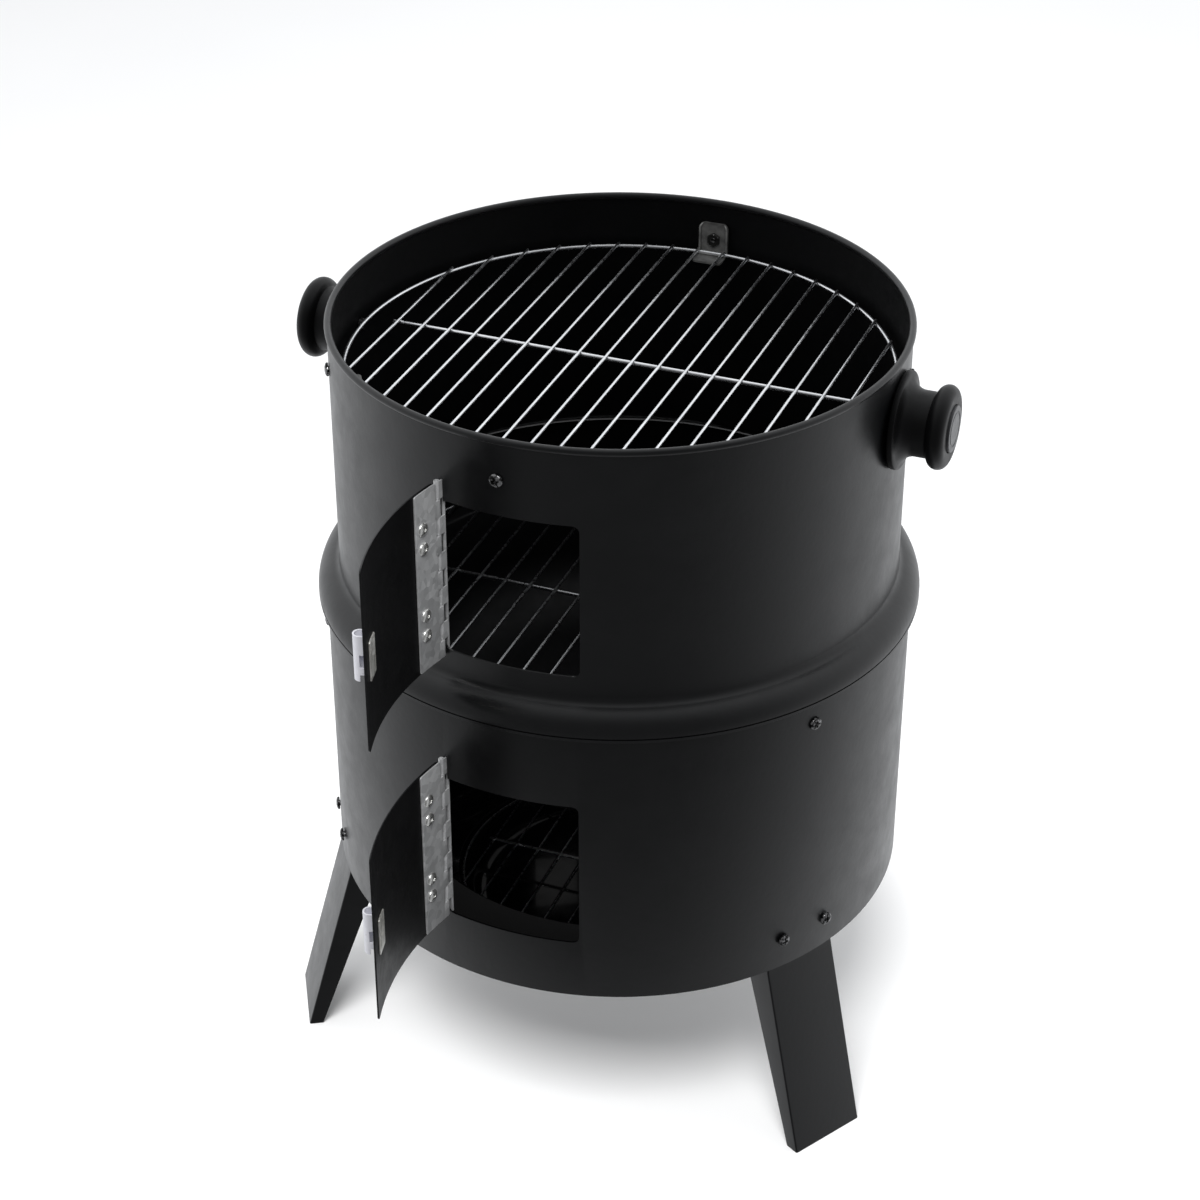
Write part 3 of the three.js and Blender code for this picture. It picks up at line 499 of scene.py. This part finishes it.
def upper_ring():
    """Straight wall with a rolled rim, and a skirt that flares out to a grooved edge."""
    swing = 1 - math.cos(math.radians(FLARE_TURN))
    flare = (UPPER_R + FLARE_FILLET, SKIRT_BOTTOM + FLARE_HEIGHT)
    shoulder_r = (SKIRT_OVERHANG - FLARE_FILLET * swing) / swing
    drop = (FLARE_FILLET + shoulder_r) * math.sin(math.radians(FLARE_TURN))
    shoulder = (SKIRT_R - shoulder_r, flare[1] - drop)
    edge = 0.2
    floor, base = SKIRT_R - GROOVE_DEPTH, SKIRT_BOTTOM
    bead = (UPPER_R - 0.8, UPPER_TOP - RIM_BEAD)
    profile = [
        (SKIRT_R - SHEET, base + edge), (SKIRT_R - SHEET + edge, base),
        (SKIRT_R - edge, base), (SKIRT_R, base + edge),
        (SKIRT_R, base + GROOVE_FROM), (floor, base + GROOVE_FROM + 0.1),
        (floor, base + GROOVE_TO - 0.1), (SKIRT_R, base + GROOVE_TO),
        *arc(*shoulder, shoulder_r, 2, FLARE_TURN, 14),
        *arc(*flare, FLARE_FILLET, 180 + FLARE_TURN, 180, 12)[1:],
        *arc(*bead, RIM_BEAD, -69, 259, 22),
        *arc(*flare, FLARE_FILLET + SHEET, 180, 180 + FLARE_TURN, 12),
        *arc(*shoulder, shoulder_r - SHEET, FLARE_TURN, 0, 12)[1:],
    ]
    ring = lathe(profile, RING_SEGMENTS)
    for tool in doorway("upper"):
        ring = cut(ring, [tool])
    # The top 6 mm of the inner wall keeps the outer coat as the lit band. Below it the inner wall gets the
    # coat with painted shade.
    lit_rim_band = 6
    inside_out(ring, UPPER_R - SHEET + 0.5, UPPER_TOP - lit_rim_band)
    piece("smoking_ring", ring, (COAT, PAINTED_SHADE_INSIDE), "upper_body", ["upper_body"])


def inside_out(bm, radius, top=math.inf):
    """Faces nearer the axis than a radius get the piece's second finish, the coat with painted shade."""
    for face in bm.faces:
        middle = face.calc_center_median()
        if middle.xy.length < radius and middle.z < top:
            face.material_index = 1


def lower_ring():
    """Straight wall, its upper edge hidden in the skirt."""
    profile = rounded([(LOWER_R - SHEET, LOWER_BOTTOM), (LOWER_R, LOWER_BOTTOM),
                       (LOWER_R, LOWER_TOP), (LOWER_R - SHEET, LOWER_TOP)], 0.4)
    ring = lathe(profile, RING_SEGMENTS)
    for tool in doorway("lower"):
        ring = cut(ring, [tool])
    # The inner wall gets the coat with painted shade.
    inside_out(ring, LOWER_R - SHEET / 2)
    piece("firebox_ring", ring, (COAT, PAINTED_SHADE_INSIDE), "lower_body", ["lower_body"])


# ---- Screws, nuts, rivets -------------------------------------------------------------------------


def screw(tip, seat):
    """Pan-head screw along +Z with a crossed recess."""
    lip, top = 0.9, seat + HEAD_HEIGHT
    dome = [(HEAD * math.cos(a), seat + lip + (HEAD_HEIGHT - lip) * math.sin(a))
            for a in [math.radians(12 * i) for i in range(8)]]
    body = lathe([(0, tip), (SHANK - 0.4, tip), (SHANK, tip + 0.5), (SHANK, seat), (HEAD - 0.25, seat),
                  (HEAD, seat + 0.3), *dome, (0, top)], 32)
    arm, width = HEAD * 0.55, 0.5
    cross = [brick((-arm, arm), (-width, width), (top - 1.5, top + 1)),
             brick((-width, width), (-arm, arm), (top - 1.45, top + 1.1))]
    return cut(cut(body, cross[:1]), cross[1:])


def hexagon(angle):
    """Share of a hexagon's corner radius that its outline reaches at an angle."""
    sixth = math.pi / 3
    return math.cos(sixth / 2) / math.cos((angle + sixth / 2) % sixth - sixth / 2)


def nut(inner_face, radius):
    """Hexagon with its corners turned down on both faces."""
    turns = [2 * math.pi * i / 48 for i in range(48)]
    rows = []
    for z, reach in ((0, 0), (0, NUT_FACE), (NUT_CHAMFER, 1), (NUT_THICKNESS - NUT_CHAMFER, 1),
                     (NUT_THICKNESS, NUT_FACE), (NUT_THICKNESS, 0)):
        radii = [radius * min(hexagon(t), reach) for t in turns]
        rows.append([(r * math.cos(t), r * math.sin(t), inner_face + z) for r, t in zip(radii, turns)])
    return skin(rows)


def rivet(radius, height):
    """Blind rivet head: a low dome with a dimple where the mandrel broke off."""
    dome = [(radius * math.cos(a), 0.25 + (height - 0.25) * math.sin(a))
            for a in [math.radians(10 * i) for i in range(7)]]
    return lathe([(0, -0.3), (radius - 0.2, -0.3), (radius, 0), *dome, (1.1, height),
                  (0.9, height - 0.7), (0, height - 0.7)], 28)


# ---- Legs -----------------------------------------------------------------------------------------


def leg_section(outer, depth, half, sheet, bend):
    """Channel seen from above, open towards the axis, at the front."""
    inner = max(bend - sheet, 0.05)
    out = [(-half, -outer + depth)]
    out += arc(-half + bend, -outer + bend, bend, 180, 270, 5)
    out += arc(half - bend, -outer + bend, bend, 270, 360, 5)
    out += [(half, -outer + depth), (half - sheet, -outer + depth)]
    out += arc(half - sheet - inner, -outer + sheet + inner, inner, 360, 270, 5)
    out += arc(-half + sheet + inner, -outer + sheet + inner, inner, 270, 180, 5)
    out += [(-half + sheet, -outer + depth)]
    return out


def leg_channel():
    """Channel that leans out to the foot and stands straight where it meets the ring's wall."""
    inner_foot, inner_top = LEG_FOOT - FLANGE_AT_FOOT, LEG_TOP - FLANGE_AT_TOP
    blend, ease = 7, 0.35
    rows = []
    for z in (0, 0.3, 40, 90, 126, 129, 132, 135, 138, FLANGE_TOP - 0.3, FLANGE_TOP):
        lean = LEG_FOOT + (LEG_TOP - LEG_FOOT) * min(z, LOWER_BOTTOM) / LOWER_BOTTOM
        soften = max(0.0, 1 - abs(z - LOWER_BOTTOM) / blend) ** 2 * ease
        outer = lean + soften if z < LOWER_BOTTOM + blend else LEG_TOP
        inner = inner_foot + (inner_top - inner_foot) * z / FLANGE_TOP
        trim = 0.25 if z in (0, FLANGE_TOP) else 0
        section = leg_section(outer - trim, outer - inner - 2 * trim, LEG_HALF - trim,
                              LEG_SHEET - 2 * trim, LEG_BEND - trim)
        rows.append([(x, y, z) for x, y in section])
    return skin(rows, cap=True)


def leg_tab():
    """Tongue of the leg that goes up inside the ring's wall."""
    side, low_edge = LEG_HALF - 2.5, FLANGE_TOP - 2
    outline = rounded([(-side, low_edge), (side, low_edge), (side, TAB_TOP), (-side, TAB_TOP)], 4, 5)
    faces = (-LEG_TOP + 0.05, -LEG_TOP + LEG_SHEET - 0.05)
    return skin([[(x, y, z) for x, z in outline] for y in faces], cap=True)


def add_legs():
    wall = math.sqrt(LOWER_R ** 2 - LEG_SCREW_SIDE ** 2)
    inner_wall = LEG_TOP - LEG_SHEET
    for name, bearing in LEGS.items():
        bm = moved(merge([leg_channel(), leg_tab()]), turned(bearing))
        piece(f"leg_{name}_channel", bm, COAT, "lower_body", [f"leg_{name}"])
        for tag, side in (("a", -LEG_SCREW_SIDE), ("b", LEG_SCREW_SIDE)):
            bolt = merge([screw(inner_wall - 4.1, wall + 0.8), nut(inner_wall - 3.0, LEG_NUT)])
            bolt = moved(bolt, facing_out(bearing, side, LEG_SCREW_HEIGHT))
            piece(f"leg_bolt_{name}_{tag}", bolt, SCREW_PAINTED_GLINTS, "lower_body",
                  [f"leg_screw_{name}_{tag}"])


# ---- Brackets -------------------------------------------------------------------------------------


def bracket(back, shelf_top):
    """Pressed bracket: upright with folded cheeks, and a shelf with a rounded nose."""
    under, top = shelf_top - SHEET, shelf_top + BRACKET_RISE
    rows = []
    for z, inset in ((under, 0), (shelf_top + 9, 0), (top - 3, 0), (top - 1.4, 0.5), (top - 0.4, 1.3),
                     (top, 2.0)):
        depth = BRACKET_CHEEK - inset * 0.9
        section = leg_section(back, depth, BRACKET_HALF - inset, SHEET, BRACKET_BEND)
        rows.append([(x, y, z) for x, y in section])
    root, nose = -back + 0.6, -back + SHELF_DEPTH
    shelf = rounded([(-BRACKET_HALF, root), (BRACKET_HALF, root), (BRACKET_HALF, nose),
                     (-BRACKET_HALF, nose)], 3, 5)
    return merge([skin(rows, cap=True), prism(shelf, under + 0.02, shelf_top)])


def add_brackets(level, ring, shelf_top, bearings, body):
    back = high(f"{level}_bracket_rear").y
    nut_face = back - SHEET - 3.0
    for name, bearing in bearings.items():
        place = facing_out(bearing, 0, shelf_top + BRACKET_SCREW_RISE)
        bm = moved(bracket(back, shelf_top), turned(bearing))
        piece(f"{level}_shelf_bracket_{name}", bm, DULL, body, [f"{level}_bracket_{name}"])
        bm = moved(screw(nut_face - 0.4, ring + 0.3), place)
        piece(f"{level}_bracket_bolt_{name}", bm, SCREW_PAINTED_GLINTS, body,
              [f"{level}_bracket_screw_{name}"])
        bm = moved(nut(nut_face, BRACKET_NUT), place)
        piece(f"{level}_bracket_hexnut_{name}", bm, NUT, body,
              [f"{level}_bracket_nut_{name}"])


# ---- Grates ---------------------------------------------------------------------------------------


def grate(height, ring_radius, bars, pitch, wire, bar):
    """Wire grate with a ring, parallel bars on top, one cross wire below and small welds."""
    turns = [2 * math.pi * i / RING_SEGMENTS for i in range(RING_SEGMENTS)]
    section = arc(0, 0, wire, 0, 330, 11)
    parts = [skin([[((ring_radius + r) * math.cos(t), (ring_radius + r) * math.sin(t), height + z)
                    for r, z in section] for t in turns], close_rows=True)]
    rise = height + wire + bar - 0.4
    outermost = (bars - 1) / 2 * pitch
    crossing = outermost + 4.6
    parts.append(tube((-crossing, 0, height), (crossing, 0, height), wire))
    for i in range(bars):
        x = i * pitch - outermost
        reach = math.sqrt((ring_radius + 0.9) ** 2 - x * x)
        parts.append(tube((x, -reach, rise), (x, reach, rise), bar, 10))
        on_ring = math.sqrt(ring_radius ** 2 - x * x)
        for y in (-on_ring, 0, on_ring):
            weld = lathe([(0, -0.8), (0.9, -0.5), (1.3, 0), (0.9, 0.5), (0, 0.8)], 10)
            parts.append(moved(weld, Matrix.Translation((x, y, height + wire))))
    return merge(parts)


def add_grates():
    for name, node, shade_tone, sizes in (("upper_cooking_grate", "upper_grate", "upper", COOKING_GRATE),
                                    ("lower_cooking_grate", "lower_grate", "lower", COOKING_GRATE),
                                    ("fire_grate", "charcoal_grate", "fire", FIRE_GRATE)):
        bm = grate(low(node).z + WIRE_RISE, **sizes)
        piece(name, bm, CHROME[shade_tone], node, [node])


# ---- Bowls ----------------------------------------------------------------------------------------


def bowl(rim_top, rim, mouth, foot, foot_z, floor_r, floor):
    """Deep-drawn bowl: flat rim with a rounded edge, straight wall, round foot and flat floor."""
    lip, steps = 2.5, 12
    inside = arc(mouth + lip, rim_top - lip, lip, 90, 158, 4)
    outside = [(r + SHEET * 0.95, z - SHEET) for r, z in inside]
    for i in range(steps + 1):
        a = math.pi / 2 * i / steps
        r, z = floor_r + (foot - floor_r) * math.cos(a), foot_z - (foot_z - floor) * math.sin(a)
        inside.append((r, z))
        outside.append((r + SHEET * math.cos(a), z - SHEET * math.sin(a)))
    edge = arc(rim - SHEET / 2, rim_top - SHEET / 2, SHEET / 2, -90, 90, 5)
    return lathe([(0, floor - SHEET), *reversed(outside), *edge, *inside, (0, floor)], 144)


def add_bowls():
    bm = bowl(high("charcoal_bowl").z, **FIRE_BOWL)
    piece("fire_bowl", bm, ENAMEL, "charcoal_bowl", ["charcoal_bowl"])
    bm = bowl(high("water_bowl").z, **WATER_PAN)
    piece("water_pan", bm, SATIN, "water_bowl", ["water_bowl"])


# ---- Knobs ----------------------------------------------------------------------------------------


def add_knobs():
    """Spool, badge and bolt, turned from points of (radius, distance from the rings' axis)."""
    foot, edge, neck = 180.4, 184.6, 193.4
    tip = high("knob_disc_right").x
    cap, tube_r, base = 207.3, 5.8, 30.4
    waist = [(29.0 - 8.6 * math.sin(a), neck - (neck - edge) * math.cos(a))
             for a in [math.radians(9 * i) for i in range(11)]]
    profile = [(0, foot), (base - 0.8, foot), *arc(base - 0.8, foot + 0.8, 0.8, -90, 0, 3),
               *arc(base - 0.9, edge - 1.2, 0.9, 0, 80, 4), *waist,
               (20.4, 200.2), *arc(21.4, 200.6, 1.0, 180, 100, 3), *arc(20.2, cap, tube_r, -72, 90, 18),
               (15.6, cap + tube_r), *arc(15.6, cap + tube_r - 0.9, 0.9, 90, 180, 3),
               (14.7, 211.7), (0, 211.7)]
    disc = [(0, 212.0), (14.3, 212.0), *arc(13.8, tip - 0.5, 0.5, 0, 90, 3), (11.4, tip),
            (11.0, tip - 0.45), (10.2, tip - 0.45), (9.8, tip), (4, tip), (0, tip - 0.2)]
    for name, bearing in KNOBS.items():
        place = facing_out(bearing, 0, KNOB_HEIGHT)
        piece(f"grip_{name}", moved(lathe(profile, 72), place), PHENOLIC, "upper_body",
              [f"knob_{name}"])
        piece(f"grip_badge_{name}", moved(lathe(disc, 72), place), BADGE, "upper_body",
              [f"knob_disc_{name}"])
        bolt = lathe([(0, 175.2), (2.6, 175.2), (4.0, 176.1), (4.3, 177.2), (4.3, 178.2), (2.3, 178.2),
                      (2.3, 198), (0, 198)], 32)
        slot_cut = brick((-5, 5), (-0.5, 0.5), (174, 176.2))
        piece(f"grip_bolt_{name}", moved(cut(bolt, [slot_cut]), place), SCREW_PAINTED_GLINTS, "upper_body",
              [f"knob_screw_{name}"])


# ---- Doors ----------------------------------------------------------------------------------------


def door_pull(outer, hinge, z_from):
    """Folded strip: foot on the door, notched web and a curl back over the foot."""
    sheet, curl, stand_off, foot = 1.0, 4.2, 8.5, 7.0
    height, gap = 30.0, 0.3
    centre = gap + stand_off - curl
    outline = [(-foot, gap), (curl - 0.8, gap), *arc(curl - 0.8, gap + 0.8, 0.8, -90, 0, 4)[1:]]
    outline += arc(0, centre, curl, 0, 200, 18)
    outline += arc(0, centre, curl - sheet, 200, 0, 18)
    outline += [(curl - sheet, gap + sheet), (-foot, gap + sheet)]
    strip = prism(outline, 0, height)
    notch_z, tail_top = (9, 17.5), 4.3
    notch = brick((0.5, curl + 1), (gap + sheet, centre), notch_z)
    tail = brick((-foot - 1, curl + 1), (-1, centre), (-1, tail_top))
    strip = cut(strip, [notch, tail])
    for rivet_z in (11, 22):
        head = moved(rivet(1.7, 0.7), Matrix.Translation((-4.6, gap + sheet, rivet_z)) @ tipped(-90))
        strip = merge([strip, head])
    strip.transform(Matrix.Scale(-1, 4, (0, 1, 0)))
    place = turned(hinge + math.degrees(PULL_AT / outer)) @ Matrix.Translation((0, -outer, z_from))
    return moved(strip, place)


def barrels(leaf_z, first):
    """Heights between which every second knuckle stands, starting from the first given."""
    pitch = (leaf_z[1] - leaf_z[0]) / KNUCKLES
    return [(leaf_z[0] + i * pitch, leaf_z[0] + (i + 1) * pitch) for i in range(first, KNUCKLES, 2)]


def knuckles(axis, leaf_z, first):
    """Rolled barrels of one leaf, every second one along the pin."""
    parts = []
    for z_from, z_to in barrels(leaf_z, first):
        a, b = z_from + KNUCKLE_GAP, z_to - KNUCKLE_GAP
        ring = rounded([(1.0, a), (KNUCKLE_R, a), (KNUCKLE_R, b), (1.0, b)], 0.2, 2)
        parts.append(moved(lathe(ring, 28), Matrix.Translation((*axis, 0))))
    return parts


def rivet_row(radius, height, bearing, y, rivet_heights):
    """Rivets one above the other on a sheet that faces the front before it is turned."""
    return [moved(rivet(radius, height), turned(bearing) @ Matrix.Translation((0, y, z)) @ tipped(-90))
            for z in rivet_heights]


def door_leaf(ring, axis, hinge, leaf_z):
    """Hinge leaf on the door, curved like the ring, with a strip from each knuckle."""
    leaf_r = (ring + LEAF_GAP, ring + LEAF_GAP + LEAF_SHEET)
    parts = [curved_plate(*leaf_r, *DOOR_LEAF_SPAN, *leaf_z, hinge, corner=1.2, edge=0.12)]
    parts += knuckles(axis, leaf_z, 0)
    for z_from, z_to in barrels(leaf_z, 0):
        parts.append(curved_plate(*leaf_r, 0.3, 5.0, z_from + 0.2, z_to - 0.2, hinge, corner=0.5,
                                  edge=0.1))
    return merge(parts)


def ring_leaf(ring, axis, axis_r, hinge, leaf_z, rivet_heights):
    """Hinge leaf inside the ring's wall, with tabs that reach out to the pin, and its rivets."""
    leaf_r = (ring - RING_LEAF_INSET, ring - RING_LEAF_FACE)
    parts = [curved_plate(*leaf_r, *RING_LEAF_SPAN, *leaf_z, hinge, corner=1.2, edge=0.12)]
    parts += knuckles(axis, leaf_z, 1)
    for z_from, z_to in barrels(leaf_z, 1):
        tab = brick(TAB_SPAN, (-axis_r, -ring + 1.9), (z_from + 0.2, z_to - 0.2))
        parts.append(moved(tab, turned(hinge)))
    bearing = hinge - math.degrees(RING_RIVET_AT / ring)
    parts += rivet_row(3.0, 1.1, bearing, -ring + RING_LEAF_INSET, rivet_heights)
    return merge(parts)


def add_door(level, ring):
    """Door of a ring with its hinge, pull and catch, modelled shut and swung open by its hinge."""
    hinge, axis_r = hinge_of(level)
    axis = (axis_r * math.sin(math.radians(hinge)), -axis_r * math.cos(math.radians(hinge)))
    body, door = f"{level}_body", f"{level}_door"
    z_from, z_to = low(door).z, high(door).z
    leaf_top = z_to - LEAF_BELOW_TOP
    leaf_z = (leaf_top - LEAF_HEIGHT, leaf_top)
    swing = (Matrix.Translation((*axis, 0)) @ turned(-OPEN_ANGLE)
             @ Matrix.Translation((-axis[0], -axis[1], 0)))
    inner, outer = ring + PANEL_GAP, ring + PANEL_GAP + PANEL_SHEET
    reach = 2 * math.asin(PANEL_CHORD / 2 / axis_r) * (inner + outer) / 2

    panel = curved_plate(inner, outer, PANEL_START, reach, z_from, z_to, hinge, corner=3.5)
    # The panel's inner face gets the coat with painted shade.
    inside_out(panel, inner + 0.05)
    piece(f"{level}_door_panel", moved(panel, swing), (COAT, PAINTED_SHADE_INSIDE), door, [door])

    leaf = door_leaf(ring, axis, hinge, leaf_z)
    piece(f"{level}_hinge_leaf_on_door", moved(leaf, swing), ZINC, door,
          [f"{level}_hinge_door_leaf"])
    rivets = merge(rivet_row(4.3, 1.8, hinge + math.degrees(DOOR_RIVET_AT / ring), -ring - LEAF_GAP,
                             RIVET_HEIGHTS[level]))
    piece(f"{level}_hinge_rivet_heads", moved(rivets, swing), RIVET, door,
          [f"{level}_hinge_door_leaf"])

    leaf = ring_leaf(ring, axis, axis_r, hinge, leaf_z, RIVET_HEIGHTS[level])
    piece(f"{level}_hinge_leaf_on_ring", leaf, ZINC, body,
          [f"{level}_hinge_body_leaf"])
    pin = tube((*axis, leaf_z[0]), (*axis, leaf_z[1]), PIN_R, 20)
    piece(f"{level}_hinge_rod", pin, ZINC, body, [f"{level}_hinge_pin"])

    pull = door_pull(outer, hinge, low(f"{level}_door_pull").z)
    piece(f"{level}_pull_strip", moved(pull, swing), PULL_PAINTED_REFLECTION, door,
          [f"{level}_door_pull"])
    catch_z = (low(f"{level}_door_catch").z, high(f"{level}_door_catch").z)
    plate = curved_plate(ring + LEAF_GAP, ring + LEAF_GAP + LEAF_SHEET, CATCH_AT - CATCH_HALF,
                         CATCH_AT + CATCH_HALF, *catch_z, hinge, corner=1.0, edge=0.15)
    piece(f"{level}_catch_strip", moved(plate, swing), CATCH, door,
          [f"{level}_door_catch"])


# ---- Stage ----------------------------------------------------------------------------------------


CAMERA_MM = Vector((541.72, -1423.46, 1253.45))
CAMERA_DOWN, CAMERA_TURN = 31.8, 21.3
LENS, SENSOR = 82.18, 36
FLOOR_HALF = 9.0
# How far a direction points to the camera's side, from and to, and the world's strength there.
WORLD_FACING, WORLD_STRENGTH = (-0.30, 0.77), (1.05, 0.14)
WORLD_COLOUR = (0.965, 0.98, 1, 1)

FLOOR_ONLY = ("studio_floor",)
LOW_PARTS = ("fire_bowl", "leg_")
FIREBOX = ("fire_bowl", "fire_grate")
FASTENERS = ("leg_bolt", "upper_bracket", "lower_bracket", "upper_shelf", "upper_hinge", "lower_hinge",
             "upper_pull", "lower_pull", "upper_catch", "lower_catch")
# Name, place and aim from the rings' axis in metres, size, power, what it lights, what shades it.
LAMPS = (("floor_key", (0.14, -1.08, 2.2), (0, 0, 0), 0.85, 46, FLOOR_ONLY, LOW_PARTS),
         ("floor_fill", (0.0, 1.7, 2.6), (0, 1.1, 0), 0.85, 15, FLOOR_ONLY, FLOOR_ONLY),
         ("glint_softbox", (0.53, -1.39, 2.13), (0, 0, 0.25), 1.0, 45, FASTENERS, None),
         ("doorway_fill", (0.10, -1.1, 0.62), (0, 0, 0.10), 0.45, 2.2, FIREBOX, None),
         ("rear_glint", (-0.10, 0.14, 0.20), (0.03, -0.10, 0.09), 0.03, 0.00028, FIREBOX, None),
         ("rim_glint", (-0.05, -0.045, 0.217), (-0.05, -0.05, 0), 0.12, 0.0022, FIREBOX, None))


def add_floor():
    bm = bmesh.new()
    bmesh.ops.create_grid(bm, x_segments=4, y_segments=4, size=FLOOR_HALF)
    mesh = bpy.data.meshes.new("studio_floor")
    bm.to_mesh(mesh)
    bm.free()
    f = Finish("studio_floor_finish", Roughness=1.0, Specular_IOR_Level=0.0)
    f.colours(f.noise(2), (0.3, (0.93, 0.93, 0.93)), (0.7, (0.95, 0.95, 0.95)))
    mesh.materials.append(f.material)
    floor = bpy.data.objects.new("studio_floor", mesh)
    bpy.context.scene.collection.objects.link(floor)
    floor.visible_glossy = floor.visible_diffuse = floor.visible_shadow = False


def add_camera():
    data = bpy.data.cameras.new("camera")
    data.lens, data.sensor_width = LENS, SENSOR
    camera = bpy.data.objects.new("camera", data)
    camera.location = AXIS + CAMERA_MM * MM
    camera.rotation_euler = (math.radians(90 - CAMERA_DOWN), 0, math.radians(CAMERA_TURN))
    bpy.context.scene.collection.objects.link(camera)
    bpy.context.scene.camera = camera


def group_of(name, prefixes):
    """Collection of the objects whose names start with any of the prefixes."""
    collection = bpy.data.collections.new(name)
    for obj in bpy.context.scene.objects:
        if obj.type == "MESH" and obj.name.startswith(prefixes):
            collection.objects.link(obj)
    return collection


def add_world():
    """White to the camera, and to everything else dimmer from the front than from behind."""
    world = bpy.data.worlds.new("studio")
    bpy.context.scene.world = world
    world.use_nodes = True
    tree = world.node_tree
    background = tree.nodes["Background"]
    place = tree.nodes.new("ShaderNodeTexCoord")
    facing = tree.nodes.new("ShaderNodeVectorMath")
    facing.operation = "DOT_PRODUCT"
    facing.inputs[1].default_value = Vector((CAMERA_MM.x, CAMERA_MM.y, 0)).normalized()
    strength = span_node(tree, *WORLD_FACING, *WORLD_STRENGTH)
    path = tree.nodes.new("ShaderNodeLightPath")
    seen = tree.nodes.new("ShaderNodeMix")
    seen.inputs["B"].default_value = 1.0
    background.inputs["Color"].default_value = WORLD_COLOUR
    tree.links.new(place.outputs["Generated"], facing.inputs[0])
    tree.links.new(facing.outputs["Value"], strength.inputs["Value"])
    tree.links.new(path.outputs["Is Camera Ray"], seen.inputs["Factor"])
    tree.links.new(strength.outputs["Result"], seen.inputs["A"])
    tree.links.new(seen.outputs["Result"], background.inputs["Strength"])
    bpy.context.scene.view_settings.view_transform = "Standard"


def add_lamps():
    for name, place_m, aim_m, size, power, lit, shading in LAMPS:
        data = bpy.data.lights.new(name, "AREA")
        data.size, data.energy = size, power
        lamp = bpy.data.objects.new(name, data)
        lamp.location = AXIS + Vector(place_m)
        aim = AXIS + Vector(aim_m) - lamp.location
        lamp.rotation_euler = aim.to_track_quat("-Z", "Y").to_euler()
        lamp.visible_camera = False
        lamp.light_linking.receiver_collection = group_of(f"{name}_lights", lit)
        if shading:
            lamp.light_linking.blocker_collection = group_of(f"{name}_shades", shading)
        bpy.context.scene.collection.objects.link(lamp)


upper_ring()
lower_ring()
add_legs()
add_brackets("upper", UPPER_R, UPPER_SHELF, UPPER_BRACKETS, "upper_body")
add_brackets("lower", LOWER_R, LOWER_SHELF, LEGS, "lower_body")
add_grates()
add_bowls()
add_knobs()
add_door("upper", UPPER_R)
add_door("lower", LOWER_R)
add_floor()
add_camera()
add_world()
add_lamps()
